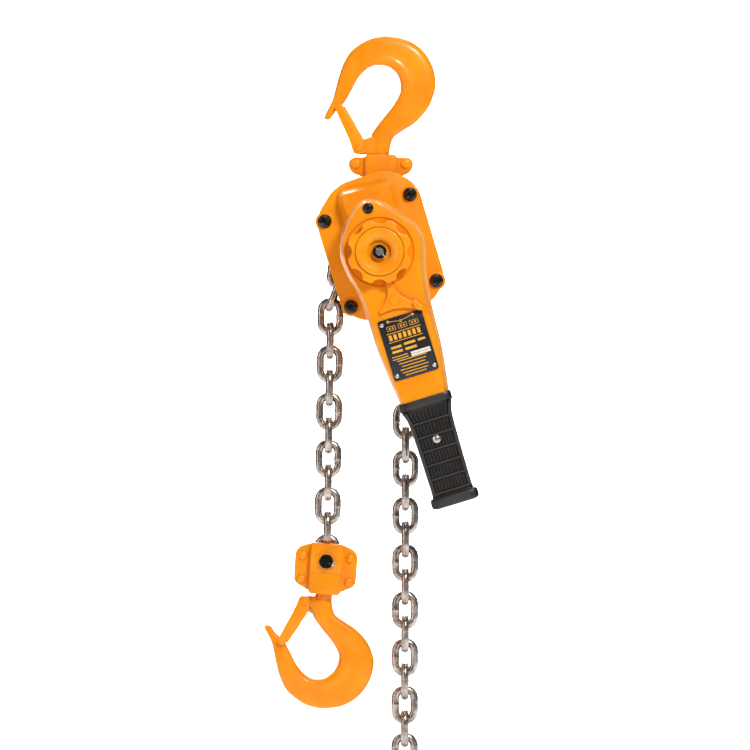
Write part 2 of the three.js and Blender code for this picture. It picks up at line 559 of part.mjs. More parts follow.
add(body, "grip_screw", gripScrew, BRIGHT_STEEL, 0.25, 1);

// Chain: a torus of wire whose halves are drawn apart makes each link. Neighbours in one section are
// run into each other, and the free ends of a section clear the next link.
function linkSolid(top, end, yaw, reachTop, reachEnd) {
  const bend = (CHAIN.innerWidth + CHAIN.wire) / 2;
  const ring = new THREE.TorusGeometry(bend, CHAIN.wire / 2 - 0.2, CHAIN.sides, CHAIN.steps);
  ring.rotateZ(Math.PI / CHAIN.steps);
  const span = top.distanceTo(end) / 2;
  const at = ring.attributes.position;
  for (let i = 0; i < at.count; i++) {
    const drawn = at.getY(i) > 0 ? span + reachTop - bend : -(span + reachEnd - bend);
    at.setY(i, at.getY(i) + drawn);
  }
  ring.rotateX(Math.PI / 2);
  ring.rotateZ(yaw);
  const along = top.clone().sub(end).normalize();
  ring.applyQuaternion(new THREE.Quaternion().setFromUnitVectors(new THREE.Vector3(0, 0, 1), along));
  const middle = top.clone().add(end).divideScalar(2);
  ring.translate(middle.x, middle.y, middle.z);
  return solid(ring);
}

// Links through a run of contact points, numbered from first; yaw(i) turns link i about its length.
function chainSection(contacts, first, yaw) {
  const hooked = CHAIN.wire / 2 - 1.2;
  const free = CHAIN.wire / 2 + 0.1;
  const last = contacts.length - 2;
  return join(...contacts.slice(0, -1).map((top, i) => linkSolid(top, contacts[i + 1], yaw(first + i),
    i === 0 ? free : hooked, i === last ? free : hooked)));
}

const at = (x, z) => new THREE.Vector3(x, 0, z);
const turnPerLink = 360 / (2 * SHEAVE.pockets);
const contactRadius = CHAIN.pitch / 2 / Math.sin(rad(turnPerLink / 2));
const onSheave = (i) => {
  const angle = rad(SHEAVE.firstContact - i * turnPerLink);
  return at(contactRadius * Math.cos(angle), contactRadius * Math.sin(angle));
};

// On the sheave, every other link lies flat on a cheek side.
const wrapped = [0, 1, 2, 3, 4, 5].map(onSheave);
add(upright, "sheave_chain", chainSection(wrapped, 0, (i) => (i % 2 ? 0 : UP)), CHAIN_STEEL, 0.4, 1);

// Load strand: off the left of the sheave, over the lower left stay, then down to the bottom yoke.
const STRAND_TOP = at(-54.6, -57.5);
const STRAND_END = at(BOTTOM_PIN.x + 0.6, -57.5 - 11 * CHAIN.pitch);
const loadContacts = [at(-41.85, -6.4), at(-45.2, -32.7)];
for (let i = 0; i <= 11; i++) loadContacts.push(STRAND_TOP.clone().lerp(STRAND_END, i / 11));
const alternate = (i) => (i % 2 ? UP : 0);
const LOAD_SPLIT = 6;
add(upright, "load_chain_upper", chainSection(loadContacts.slice(0, LOAD_SPLIT + 1), 0, alternate),
  CHAIN_STEEL, 0.4, 1);
add(upright, "load_chain_lower", chainSection(loadContacts.slice(LOAD_SPLIT), LOAD_SPLIT, alternate),
  CHAIN_STEEL, 0.4, 1);

// Slack strand: leaves the right of the sheave and turns a quarter round before it hangs straight.
const SLACK_LINKS = 23;
const SLACK_SPLIT = 12;
const slackContacts = [at(44.8, 7.1), at(41, -19.1)];
for (let i = 0; i <= SLACK_LINKS - 2; i++) slackContacts.push(at(29.8 - 0.09 * i, -42 - i * CHAIN.pitch));
const quarterTurn = (i) => THREE.MathUtils.clamp(i - 1, 0, 4) * (Math.PI / 8);
const slackYaw = (i) => alternate(i) + quarterTurn(i);
add(upright, "slack_chain_upper", chainSection(slackContacts.slice(0, SLACK_SPLIT + 1), 0, slackYaw),
  CHAIN_STEEL, 0.4, 1);
add(upright, "slack_chain_lower", chainSection(slackContacts.slice(SLACK_SPLIT), SLACK_SPLIT, slackYaw),
  CHAIN_STEEL, 0.4, 1);

// The stopper ring keeps the free end of the chain from running through the body.
const ringRadius = 19;
const ringTube = 4;
const stopper = new THREE.TorusGeometry(ringRadius, ringTube, 6, 16);
stopper.rotateX(Math.PI / 2);
const slackEnd = slackContacts.at(-1);
const endRing = add(upright, "chain_end_ring", solid(stopper), CHAIN_STEEL, 0.4, 1);
endRing.position.set(slackEnd.x, 0, slackEnd.z - ringRadius + ringTube + CLEAR);

// Bottom yoke: two halves round the last link and the hook's shank
const BOTTOM_RIVETS = [[-26.5, 5], [26.5, 5], [-26.5, -21.8], [26.5, -21.8]];
const standingSlot = slab(rounded([[-16.5, -14.5, 0], [16.5, -14.5, 0], [24, 20, 0], [24, 30, 0], [-24, 30, 0],
  [-24, 20, 0]]), -5.6, 5.6);
const flatSlot = block(-16, 16, -15.6, 15.6, 11.5, 30);
const bottomYokeForm = {
  outline: rounded([[-30, 19.5, 6], [30, 19.5, 6], [35.8, 12, 5], [35.8, -27, 6], [28, -34, 5],
    [-28, -34, 5], [-35.8, -27, 6], [-35.8, 12, 5]]),
  core: rounded([[-18, 20, 2], [18, 20, 2], [18, -37, 4], [-18, -37, 4]]),
  depth: 19,
  shankFace: -37,
  collar: -28.5,
  pin: 4,
  hollows: [standingSlot, flatSlot],
};
for (const [side, name] of [[-1, "bottom_yoke_front"], [1, "bottom_yoke_rear"]]) {
  const heads = BOTTOM_RIVETS.map(([x, z]) => {
    const [y0, y1] = side < 0 ? [-11.5, -8] : [8, 11.5];
    return post(5.5, y0, y1, x, z, 10);
  });
  add(bottom, name, join(yokeHalf(side, bottomYokeForm), ...heads), ENAMEL, 0.3, 0);
}
const chainPin = turned([[0, -26.5], [4, -26.5], [4, 19 + CLEAR], [8, 19 + CLEAR], [8, 24], [0, 24.5]]);
add(bottom, "chain_pin", chainPin, BLACK_STEEL, 0.35, 0.9);
add(bottom, "chain_pin_nut", castleNut(8.4, -26, -19 - CLEAR, 4), BLACK_STEEL, 0.35, 0.9);

const bottomHook = new THREE.Group();
bottomHook.position.set(0, 0, -131.4);
bottom.add(bottomHook);
add(bottomHook, "bottom_hook", hookSolid(BOTTOM_HOOK), ENAMEL, 0.3, 0);
add(bottomHook, "bottom_latch", latchSolid(BOTTOM_HOOK), ENAMEL, 0.3, 0);
add(bottomHook, "bottom_latch_pin", latchPin(BOTTOM_HOOK), BRIGHT_STEEL, 0.35, 1);

export default hoist;
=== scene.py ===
import math
import json

import bpy
import bmesh
from mathutils import Matrix, Vector


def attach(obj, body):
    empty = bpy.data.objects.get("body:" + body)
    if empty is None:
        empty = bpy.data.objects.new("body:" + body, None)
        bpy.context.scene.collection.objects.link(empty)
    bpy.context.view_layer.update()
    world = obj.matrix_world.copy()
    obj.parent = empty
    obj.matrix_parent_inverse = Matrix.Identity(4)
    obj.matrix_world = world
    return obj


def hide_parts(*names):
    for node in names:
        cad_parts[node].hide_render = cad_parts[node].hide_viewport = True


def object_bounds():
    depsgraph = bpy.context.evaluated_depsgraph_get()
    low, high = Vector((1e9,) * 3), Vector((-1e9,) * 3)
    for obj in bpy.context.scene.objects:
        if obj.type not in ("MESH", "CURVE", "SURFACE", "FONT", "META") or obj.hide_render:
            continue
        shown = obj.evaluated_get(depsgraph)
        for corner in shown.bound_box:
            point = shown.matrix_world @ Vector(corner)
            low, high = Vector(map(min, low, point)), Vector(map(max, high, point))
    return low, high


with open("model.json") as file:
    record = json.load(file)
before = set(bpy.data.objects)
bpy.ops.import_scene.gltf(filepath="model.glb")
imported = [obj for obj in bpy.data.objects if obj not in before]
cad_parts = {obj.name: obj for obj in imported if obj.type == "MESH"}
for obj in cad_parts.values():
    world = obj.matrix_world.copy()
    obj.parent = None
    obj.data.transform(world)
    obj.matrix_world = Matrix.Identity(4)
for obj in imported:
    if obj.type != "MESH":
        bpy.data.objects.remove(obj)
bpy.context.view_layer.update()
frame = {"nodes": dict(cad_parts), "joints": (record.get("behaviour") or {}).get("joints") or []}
nodes = frame["nodes"]
joints = {joint["name"]: joint for joint in frame["joints"]}
print("frame loaded:", len(nodes), "nodes")

# Everything is modelled in millimetres in its own upright frame, then set in place in metres.
millimetre = Matrix.Scale(0.001, 4)


def pivot(jointName):
    return Vector(joints[jointName]["pos_m"])


def placed(point, axis="Y", degrees=0):
    return Matrix.Translation(point) @ Matrix.Rotation(math.radians(degrees), 4, axis) @ millimetre


posture = {
    "bodyTilt": -17,  # the body hangs turned, its right side up
    "bottomTilt": 4.3,
    "hookDrop": -131.4,  # from the chain pin down to the lower hook's bearing point
}
shankX = pivot("body_swing").x
bodyFrame = placed(pivot("lever_turn"), "Y", posture["bodyTilt"])
uprightFrame = placed(pivot("lever_turn"))
bottomFrame = placed(pivot("bottom_yoke_swing"), "Y", posture["bottomTilt"])
topHookFrame = placed(Vector((shankX, 0, 0)), "X", 180)
topYokeFrame = placed(pivot("body_swing"))
bottomHookFrame = bottomFrame @ Matrix.Translation((0, 0, posture["hookDrop"]))


def colour(code, alpha=1.0):
    # sRGB hex to linear
    parts = [int(code[i:i + 2], 16) / 255 for i in (1, 3, 5)]
    return [p / 12.92 if p <= 0.04045 else ((p + 0.055) / 1.055) ** 2.4 for p in parts] + [alpha]


def addNode(tree, kind, settings=None, links=None):
    node = tree.nodes.new(kind)
    for key, value in (settings or {}).items():
        if key in node.inputs:
            node.inputs[key].default_value = value
        else:
            setattr(node, key, value)
    for key, source in (links or {}).items():
        tree.links.new(source, node.inputs[key])
    return node


def grain(tree, place, sizeMm, detail=2.0, rough=0.5):
    # noise whose grains are about sizeMm across
    return addNode(tree, "ShaderNodeTexNoise", {"Scale": 1000 / sizeMm, "Detail": detail, "Roughness": rough},
                   {"Vector": place}).outputs["Fac"]


def ramp(tree, factor, stops):
    node = addNode(tree, "ShaderNodeValToRGB", {}, {"Fac": factor})
    node.color_ramp.elements[0].position, node.color_ramp.elements[0].color = stops[0]
    node.color_ramp.elements[1].position, node.color_ramp.elements[1].color = stops[-1]
    for position, shade in stops[1:-1]:
        node.color_ramp.elements.new(position).color = shade
    return node.outputs["Color"]


def steps(tree, factor, low, high):
    # a number that wanders between low and high
    limits = {"To Min": low, "To Max": high, "From Min": 0.3, "From Max": 0.7}
    return addNode(tree, "ShaderNodeMapRange", limits, {"Value": factor}).outputs["Result"]


def newFinish(name, settings, patches, stops, wear=None, pebble=None, rough=0.5):
    # patches: their size in mm and detail, for a base colour that drifts between the stops;
    # with none, the stops run through the grip from its front face to its back, painting light and shade by
    # depth
    # wear: grain in mm, detail and the two roughnesses it wanders between
    # pebble: grain in mm, detail, strength and depth in mm of the relief
    finish = bpy.data.materials.new(name)
    finish.use_nodes = True
    tree = finish.node_tree
    shader = tree.nodes["Principled BSDF"]
    for key, value in settings.items():
        shader.inputs[key].default_value = value
    place = addNode(tree, "ShaderNodeTexCoord").outputs["Object"]
    if patches:
        factor = grain(tree, place, *patches, rough)
    else:
        depth = addNode(tree, "ShaderNodeSeparateXYZ", {}, {"Vector": place}).outputs["Y"]
        limits = {"From Min": -0.0955, "From Max": -0.059}
        factor = addNode(tree, "ShaderNodeMapRange", limits, {"Value": depth}).outputs["Result"]
    shades = [(position, colour(code)) for position, code in stops]
    tree.links.new(ramp(tree, factor, shades), shader.inputs["Base Color"])
    if wear:
        size, detail, low, high = wear
        tree.links.new(steps(tree, grain(tree, place, size, detail), low, high), shader.inputs["Roughness"])
    if pebble:
        size, detail, strength, depthMm = pebble
        bump = addNode(tree, "ShaderNodeBump", {"Strength": strength, "Distance": depthMm / 1000},
                       {"Height": grain(tree, place, size, detail)})
        tree.links.new(bump.outputs["Normal"], shader.inputs["Normal"])
    return finish


# Baked enamel sprayed on steel: deep gloss, a slight orange peel, a touch redder where it is thick.
enamel = newFinish(
    "bakedYellowEnamel", {"Roughness": 0.4, "IOR": 1.35, "Coat Weight": 0.25, "Coat Roughness": 0.07},
    (38, 3), [(0.3, "#F39204"), (0.55, "#F99C05"), (0.75, "#FCA507")], (9, 1, 0.3, 0.4), (3, 0, 0.08, 0.1))
# The same enamel over a drop forging: the scale of the forging shows through as a soft pebble.
forgedEnamel = newFinish(
    "forgedYellowEnamel", {"Roughness": 0.4, "IOR": 1.35, "Coat Weight": 0.25, "Coat Roughness": 0.1},
    (30, 3), [(0.3, "#F08C03"), (0.55, "#F79704"), (0.75, "#FAA006")], (6, 1, 0.3, 0.42), (4, 1, 0.16, 0.2))
# Case-hardened links, nickel plated and tumbled: a soft grey sheen with warm, dull hollows.
chainSteel = newFinish(
    "nickelPlatedChain", {"Metallic": 1.0, "Roughness": 0.38},
    (7, 4), [(0.3, "#8C807A"), (0.5, "#BCB2AD"), (0.7, "#DAD4D0")],
    (3, 3, 0.17, 0.32), (1.4, 2, 0.25, 0.1), 0.6)
# Blackened and oiled steel: near black with small, sharp lights.
blackSteel = newFinish(
    "blackOxideSteel", {"Metallic": 0.55, "Roughness": 0.26, "Coat Weight": 0.4, "Coat Roughness": 0.12},
    (5, 3), [(0.35, "#0D0D0F"), (0.7, "#19191C")], (2, 2, 0.16, 0.28))
# Zinc plated steel, turned: bright grey with fine rings that only blur the lights.
brightSteel = newFinish(
    "zincPlatedSteel", {"Metallic": 1.0, "Roughness": 0.25},
    (4, 3), [(0.35, "#B4B5B8"), (0.7, "#DADBDD")], (1.5, 2, 0.18, 0.34))
# Moulded nitrile rubber with painted light: painted shade leaves it near black in the grooves, and a painted
# highlight makes it greyer on the high faces.
ribTopHighlight, ribSideShade, groove = "#3B393D", "#1F2024", "#0B0C0F"
rubber = newFinish(
    "mouldedGripRubber", {"Roughness": 0.45, "IOR": 1.5},
    # painted highlight on the outermost faces, painted shade deepening to near black in the grooves
    None, [(0.0, ribTopHighlight), (0.028, ribTopHighlight), (0.055, ribSideShade), (0.1, groove),
           (0.9, groove), (0.945, ribSideShade), (0.972, ribTopHighlight), (1.0, ribTopHighlight)],
    (3, 3, 0.32, 0.48), (0.9, 2, 0.25, 0.1))
# Moulded brake lining: matt brown with pale fibres.
lining = newFinish("mouldedBrakeLining", {"Roughness": 0.85}, (0.8, 2), [(0.4, "#4F3828"), (0.7, "#8A6B50")])
# Anodised aluminium plate printed near-black blue: satin, with slightly uneven cover.
plateField = newFinish(
    "printedBluePlate", {"Metallic": 0.2, "Roughness": 0.3, "Coat Weight": 0.3, "Coat Roughness": 0.15},
    (10, 3), [(0.35, "#131724"), (0.7, "#1C2236")], (2, 2, 0.25, 0.4))
# Screen-printed inks: thin flat coats with slightly uneven cover.
goldInk = newFinish("goldScreenInk", {"Roughness": 0.4}, (3, 3), [(0.35, "#EBA72A"), (0.7, "#F6BA3E")])
whiteInk = newFinish("whiteScreenInk", {"Roughness": 0.4}, (3, 3), [(0.35, "#E4E4E2"), (0.7, "#F4F4F2")])
# Injection-moulded black cap, glossy as the mould.
plugPlastic = newFinish("mouldedBlackCap", {"Roughness": 0.16, "IOR": 1.49, "Coat Weight": 0.3},
                        (6, 2), [(0.35, "#0E0E10"), (0.7, "#19191C")])
print("finishes made")


# Shapes are made with bmesh operators, in millimetres.
def flatFace(bm, corners, y, roundSegments=4):
    # a face in the XZ plane, with each corner rounded over its own distance
    verts = [bm.verts.new((x, y, z)) for x, z, _ in corners]
    face = bm.faces.new(verts)
    lengths = [(verts[i].co - verts[i - 1].co).length for i in range(len(verts))]
    for i, (vert, (_, _, radius)) in enumerate(zip(verts, corners)):
        room = min(lengths[i], lengths[(i + 1) % len(verts)]) * 0.49
        if radius > 0.05:
            bmesh.ops.bevel(bm, geom=[vert], offset=min(radius, room), offset_type="OFFSET",
                            segments=roundSegments, profile=0.5, affect="VERTICES", material=-1)
    bm.faces.ensure_lookup_table()
    return [face] if face.is_valid else [bm.faces[-1]]


def raised(bm, faces, toY):
    # pulls faces along Y to a new level and returns the moved end faces
    grown = bmesh.ops.extrude_face_region(bm, geom=faces)
    moved = [g for g in grown["geom"] if isinstance(g, bmesh.types.BMVert)]
    for vert in moved:
        vert.co.y = toY
    return [g for g in grown["geom"] if isinstance(g, bmesh.types.BMFace)]


def slabMesh(corners, y0, y1, edge=0.0, roundSegments=4, edgeSegments=3, bothEdges=False, rear=False,
             draft=0.0,
             lean=0.0):
    # an outline given thickness; the rim of the -Y face is rounded by edge, or the other rim, or both.
    # With draft, the wall leans in by that much towards the -Y face, and lean shifts that face along X.
    bm = bmesh.new()
    back = flatFace(bm, corners, y1, roundSegments)
    if draft:
        front = raised(bm, back, y1 - 1.5)
        bmesh.ops.inset_region(bm, faces=front, thickness=draft, use_even_offset=True)
        for vert in front[0].verts:
            vert.co.y = y0
            vert.co.x += lean
    else:
        raised(bm, back, y0)
    bmesh.ops.recalc_face_normals(bm, faces=bm.faces)
    if edge:
        ends = [y0, y1] if bothEdges else [y1] if rear else [y0]
        rims = [e for e in bm.edges if any(all(abs(v.co.y - y) < 1e-4 for v in e.verts) for y in ends)]
        bmesh.ops.bevel(bm, geom=rims, offset=edge, segments=edgeSegments, profile=0.5, affect="EDGES",
                        material=-1, clamp_overlap=True)
    return bm


def turnedMesh(profile, x=0.0, z=0.0, turns=48):
    # a profile of radius and y pairs spun round an axis along Y
    bm = bmesh.new()
    verts = [bm.verts.new((max(r, 0.0), y, 0)) for r, y in profile]
    edges = [bm.edges.new(pair) for pair in zip(verts, verts[1:])]
    bmesh.ops.spin(bm, geom=verts + edges, axis=(0, 1, 0), cent=(0, 0, 0), angle=math.tau, steps=turns,
                   use_merge=True)
    bmesh.ops.remove_doubles(bm, verts=bm.verts, dist=1e-3)
    bmesh.ops.recalc_face_normals(bm, faces=bm.faces)
    bmesh.ops.translate(bm, verts=bm.verts, vec=(x, 0, z))
    return bm


def softProfile(points, radius, segments=3):
    # rounds the inner corners of a profile
    result = [points[0]]
    for i in range(1, len(points) - 1):
        here = Vector(points[i])
        before = Vector(points[i - 1]) - here
        after = Vector(points[i + 1]) - here
        reach = min(radius, before.length * 0.45, after.length * 0.45)
        start = here + before.normalized() * reach
        end = here + after.normalized() * reach
        for n in range(segments + 1):
            t = n / segments
            result.append(tuple(start * (1 - t) ** 2 + here * 2 * t * (1 - t) + end * t ** 2))
    return result + [points[-1]]


def roundBar(radius, y0, y1, soften, x=0.0, z=0.0):
    return turnedMesh(softProfile([(0, y0), (radius, y0), (radius, y1), (0, y1)], soften), x, z)


def onCircle(radius, angle):
    return radius * math.cos(angle), radius * math.sin(angle)


def oblong(x0, z0, x1, z1, radius=0.0):
    return [(x0, z0, radius), (x1, z0, radius), (x1, z1, radius), (x0, z1, radius)]


def joined(*meshes):
    whole = bmesh.new()
    for part in meshes:
        held = bpy.data.meshes.new("held")
        part.to_mesh(held)
        part.free()
        whole.from_mesh(held)
        bpy.data.meshes.remove(held)
    return whole


def spun(mesh, angle, axis="Y"):
    bmesh.ops.rotate(mesh, verts=mesh.verts, cent=(0, 0, 0), matrix=Matrix.Rotation(angle, 3, axis))
    return mesh


def piece(name, mesh, frameMatrix, body, finish, replaced=(), sharp=38):
    bmesh.ops.transform(mesh, matrix=frameMatrix, verts=mesh.verts)
    if frameMatrix.determinant() < 0:
        bmesh.ops.reverse_faces(mesh, faces=mesh.faces)
    data = bpy.data.meshes.new(name)
    mesh.to_mesh(data)
    mesh.free()
    data.materials.append(finish)
    data.shade_smooth()
    data.set_sharp_from_angle(angle=math.radians(sharp))
    made = bpy.data.objects.new(name, data)
    bpy.context.scene.collection.objects.link(made)
    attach(made, body)
    if replaced:
        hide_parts(*replaced)
    return made


def smoothRun(points, perSpan):
    # Catmull-Rom through lists of numbers, ends held
    run = []
    ends = [points[0]] + points + [points[-1]]
    for i in range(len(points) - 1):
        a, b, c, d = ends[i:i + 4]
        for n in range(perSpan):
            t = n / perSpan
            run.append([0.5 * (2 * q + (r - p) * t + (2 * p - 5 * q + 4 * r - s) * t * t
                               + (3 * q - p - 3 * r + s) * t ** 3) for p, q, r, s in zip(a, b, c, d)])
    return run + [list(points[-1])]


def smoothStep(t):
    t = min(max(t, 0.0), 1.0)
    return t * t * (3 - 2 * t)


def ringAcross(bm, inner, outer, thickness, squareness, count, web=0.0):
    # one ring of a forging: a rounded square section that reaches from the inner to the outer outline;
    # web thins it behind the bead on the inner side
    circle = bmesh.ops.create_circle(bm, segments=count, radius=1.0)["verts"]
    middle = (Vector(inner) + Vector(outer)) / 2
    across = (Vector(outer) - Vector(inner)) / 2
    for vert in circle:
        c, s = vert.co.x, vert.co.y
        c = math.copysign(abs(c) ** (2 / squareness), c)
        s = math.copysign(abs(s) ** (2 / squareness), s) * (1 - web * smoothStep((c + 0.62) / 0.3))
        vert.co = (middle.x + across.x * c, s * thickness / 2, middle.y + across.y * c)
    return circle


def ringEdges(verts):
    kept = set(verts)
    return [e for e in {e for v in verts for e in v.link_edges} if e.verts[0] in kept and e.verts[1] in kept]


def lofted(bm, rings, capEnds=True):
    for first, second in zip(rings, rings[1:]):
        bmesh.ops.bridge_loops(bm, edges=ringEdges(first) + ringEdges(second))
    if capEnds:
        for ring in (rings[0], rings[-1]):
            bmesh.ops.contextual_create(bm, geom=ring)
    bmesh.ops.recalc_face_normals(bm, faces=bm.faces)


hook = {
    # inner point and outer point of the forging at each station, then its thickness
    "stations": [
        ((-9.6, 98.6), (9.6, 98.6), 19.0), ((-12.0, 89.0), (10.9, 90.6), 20.0),
        ((-11.6, 81.0), (14.5, 81.0), 21.0), ((-9.0, 74.0), (25.0, 73.0), 21.5),
        ((1.3, 59.9), (38.2, 64.5), 22.0), ((12.5, 46.1), (51.8, 49.5), 22.5),
        ((20.0, 33.4), (59.2, 33.4), 23.0), ((21.9, 24.5), (61.6, 19.0), 23.5),
        ((19.4, 12.8), (57.6, 0.0), 23.5), ((12.5, 4.4), (46.4, -17.4), 24.0),
        ((5.6, 1.0), (29.4, -28.8), 24.0), ((-1.5, 0.0), (8.6, -33.2), 24.0),
        ((-7.8, 0.8), (-4.9, -31.9), 24.0), ((-14.0, 3.4), (-17.0, -27.8), 23.5),
        ((-20.8, 9.2), (-33.0, -16.4), 22.5), ((-25.4, 15.2), (-42.0, -2.0), 21.0),
        ((-29.6, 22.6), (-47.2, 12.5), 19.0), ((-34.0, 30.8), (-50.8, 26.0), 17.0),
        ((-40.0, 41.0), (-54.4, 39.0), 15.0), ((-49.8, 51.0), (-60.4, 51.0), 13.0),
        ((-56.0, 59.6), (-63.4, 57.0), 11.5)],
    "ringPoints": 44,
    "web": 0.2,  # how much thinner the section is behind its inner bead
    "squareness": 3.1,
    "shank": 9.6,
    "collar": 13.0,
    "latchWall": 1.7,
    "latchGap": 11.4,  # from the middle plane to the inner face of a cheek
    "rivet": 4.3,
}
topHook = {"reach": 1.0, "latch": (-24.4, 92.9), "shankEnd": 117.0, "collarAt": 108.0}
bottomHook = {"reach": 0.86, "latch": (-20.9, 84.5), "shankEnd": 112.0, "collarAt": 102.9}


def hookForging(variant):
    def lift(z):
        return 20 + (z - 20) * variant["reach"] if z > 20 else z

    stations = [[a[0], lift(a[1]), b[0], lift(b[1]), t] for a, b, t in hook["stations"]]
    bm = bmesh.new()
    rings = []
    for x0, z0, x1, z1, thickness in smoothRun(stations, 6):
        web = hook["web"] * smoothStep((70 - z1) / 40) * smoothStep((x1 + 52) / 24)
        rings.append(ringAcross(bm, (x0, z0), (x1, z1), thickness,
                          hook["squareness"], hook["ringPoints"], web))
    tip = rings[-1]  # the nose closes over in two short rounded steps
    middle = sum((v.co for v in tip), Vector()) / len(tip)
    for grow, size in ((2.0, 0.72), (2.8, 0.34)):
        ring = bmesh.ops.create_circle(bm, segments=hook["ringPoints"], radius=1.0)["verts"]
        for vert, source in zip(ring, tip):
            vert.co = middle + (source.co - middle) * size + Vector((-0.6, 0, 0.8)) * grow
        rings.append(ring)
    lofted(bm, rings)
    return bm


def hookShank(variant, top):
    lowest = top - 6
    bar = roundBar(hook["shank"], lowest, variant["shankEnd"], 1.5)
    ring = roundBar(hook["collar"], variant["collarAt"], variant["collarAt"] + 7, 1.2)
    both = joined(bar, ring)
    return spun(both, math.radians(90), "X")


def latchLug(variant):
    x, z = variant["latch"]
    return slabMesh([(-6, z - 15, 0), (-6, z + 7, 0), (x - 6, z + 6, 6), (x - 6.5, z - 6.5, 6)],
                    -8.5, 8.5, 1.6, 6, 3, True)


def hookLatch(variant):
    # a pressed channel whose two cheeks straddle the stem's lug and the hook's nose
    x, z = variant["latch"]
    side = [(x - 6, z + 6.5, 5), (x + 6, z + 6, 5), (x + 6, z - 10, 5),
            (x - 19.5, z - 51, 3), (x - 28, z - 47.5, 3.5), (x - 10, z - 8, 5)]
    inner, wall = hook["latchGap"], hook["latchWall"]
    cheekFront = slabMesh(side, -inner - wall, -inner, 0.7, 6, 2)
    cheekRear = slabMesh(side, inner, inner + wall, 0.5, 6, 2, True)
    web = slabMesh([(x - 2.6, z - 25.0, 0), (x - 5.0, z - 25.6, 0), (x - 17.6, z - 45.8, 0),
                    (x - 15.4, z - 46.8, 0)], -inner - wall + 0.1, inner + wall - 0.1, 0.5, 1, 2, True)
    return joined(cheekFront, cheekRear, web)


def domeRivet(x, z, reach, radius):
    # a pin whose two ends are headed over
    half = [(radius * 0.62, 0.0), (radius * 0.62, reach), (radius, reach),
            (radius * 0.95, reach + radius * 0.2),
            (radius * 0.72, reach + radius * 0.4), (radius * 0.36, reach + radius * 0.52),
            (0, reach + radius * 0.56)]
    whole = [(r, -y) for r, y in reversed(half)] + half[1:]
    return turnedMesh(whole, x, z, 32)


def barRing(bm, point, along, radius, count):
    turn = along.to_track_quat("Z", "Y").to_matrix().to_4x4()
    place = Matrix.Translation(point) @ turn
    return bmesh.ops.create_circle(bm, segments=count, radius=radius, matrix=place)["verts"]


def wireMesh(path, radius, count=10):
    # a round wire bent through points
    bm = bmesh.new()
    rings = []
    for i, point in enumerate(path):
        along = Vector(path[min(i + 1, len(path) - 1)]) - Vector(path[max(i - 1, 0)])
        rings.append(barRing(bm, point, along, radius, count))
    lofted(bm, rings)
    return bm


def latchSpring(variant):
    # a wire coil round the pin beside the lug, with one leg on the stem and one towards the web
    x, z = variant["latch"]
    coil = [(x + 5.0 * math.cos(a * math.tau / 12), -9.5 - a * 0.05, z + 5.0 * math.sin(a * math.tau / 12))
            for a in range(-1, 26)]
    return wireMesh([(x + 12.5, -9.2, z - 14.0)] + coil + [(x - 6.0, -10.4, z - 20.0)], 0.6)


def makeHook(label, variant, place, hookBody, latchBody):
    stemTop = 20 + (98.6 - 20) * variant["reach"]
    forging = joined(hookForging(variant), hookShank(variant, stemTop), latchLug(variant))
    piece(f"{label}_hook_forging", forging, place, hookBody, forgedEnamel, [f"{label}_hook"], 50)
    piece(f"{label}_latch_channel", hookLatch(variant), place, latchBody, enamel, [f"{label}_latch"])
    x, z = variant["latch"]
    piece(f"{label}_latch_rivet", domeRivet(x, z, hook["latchGap"] + hook["latchWall"], hook["rivet"]), place,
          hookBody, enamel, [f"{label}_latch_pin"])
    piece(f"{label}_latch_spring", latchSpring(variant), place, hookBody, brightSteel)


makeHook("top", topHook, topHookFrame, "top_hook", "top_latch")
makeHook("bottom", bottomHook, bottomHookFrame, "bottom_hook", "bottom_latch")
print("hooks made")


topYoke = {
    "ears": [(-36, 27.5, 8), (36, 27.5, 8), (36, 11, 8), (17, 4.5, 5), (13, -11, 9),
             (-13, -11, 9), (-17, 4.5, 5), (-36, 11, 8)],
    "core": [(-18.5, 30.5, 5), (18.5, 30.5, 5), (18.5, 8, 4), (12, -10, 8),
             (-12, -10, 8), (-18.5, 8, 4)],
    "earDepth": 8.5, "coreDepth": 15.0, "rivets": [(-28, 20.5), (28, 20.5)], "rivetRadius": 6.3,
}
bottomYoke = {
    "ears": [(-16.5, 19.8, 3), (16.5, 19.8, 3), (30, 14.6, 4), (34.8, 8, 4),
             (34.6, -25.5, 5), (17, -34.2, 3), (-17, -34.2, 3), (-34.8, -25.5, 5),
             (-35.4, 8, 4), (-31, 14.4, 4)],
    "core": [(-18, 20, 2), (18, 20, 2), (18, -37, 4), (-18, -37, 4)],
    "brow": [(-10.5, 11, 5), (10.5, 11, 5), (14.5, -4, 4), (9, -11.5, 4),
             (-9, -11.5, 4), (-14.5, -4, 4)],
    "crease": -13.5,  # where the cheek steps back below the pin
    "earDepth": 8.5, "coreDepth": 19.0, "rivetRadius": 5.5,
    "rivets": [(-26.5, 5), (26.5, 5), (-26.5, -21.8), (26.5, -21.8)],
    "nut": 8.4,
}


def yokeHalf(side, form):
    half = joined(slabMesh(form["ears"], -form["earDepth"], -0.15, 1.4, 5, 3),
                  slabMesh(form["core"], -form["coreDepth"], -0.15, 4.2, 4, 5))
    return turnedAbout(half, side)


def turnedAbout(mesh, side):
    # the rear half is the front half mirrored through the chain's plane
    if side > 0:
        bmesh.ops.scale(mesh, vec=(1, -1, 1), verts=mesh.verts)
        bmesh.ops.reverse_faces(mesh, faces=mesh.faces)
    return mesh


def halfRivet(side, x, z, reach, radius):
    profile = [(0, -reach + 1.5), (radius, -reach + 1.5), (radius, -reach - 0.4),
               (radius * 0.92, -reach - radius * 0.3),
               (radius * 0.66, -reach - radius * 0.5), (radius * 0.32, -reach - radius * 0.6),
               (0, -reach - radius * 0.62)]
    return turnedAbout(turnedMesh(profile, x, z, 28), side)


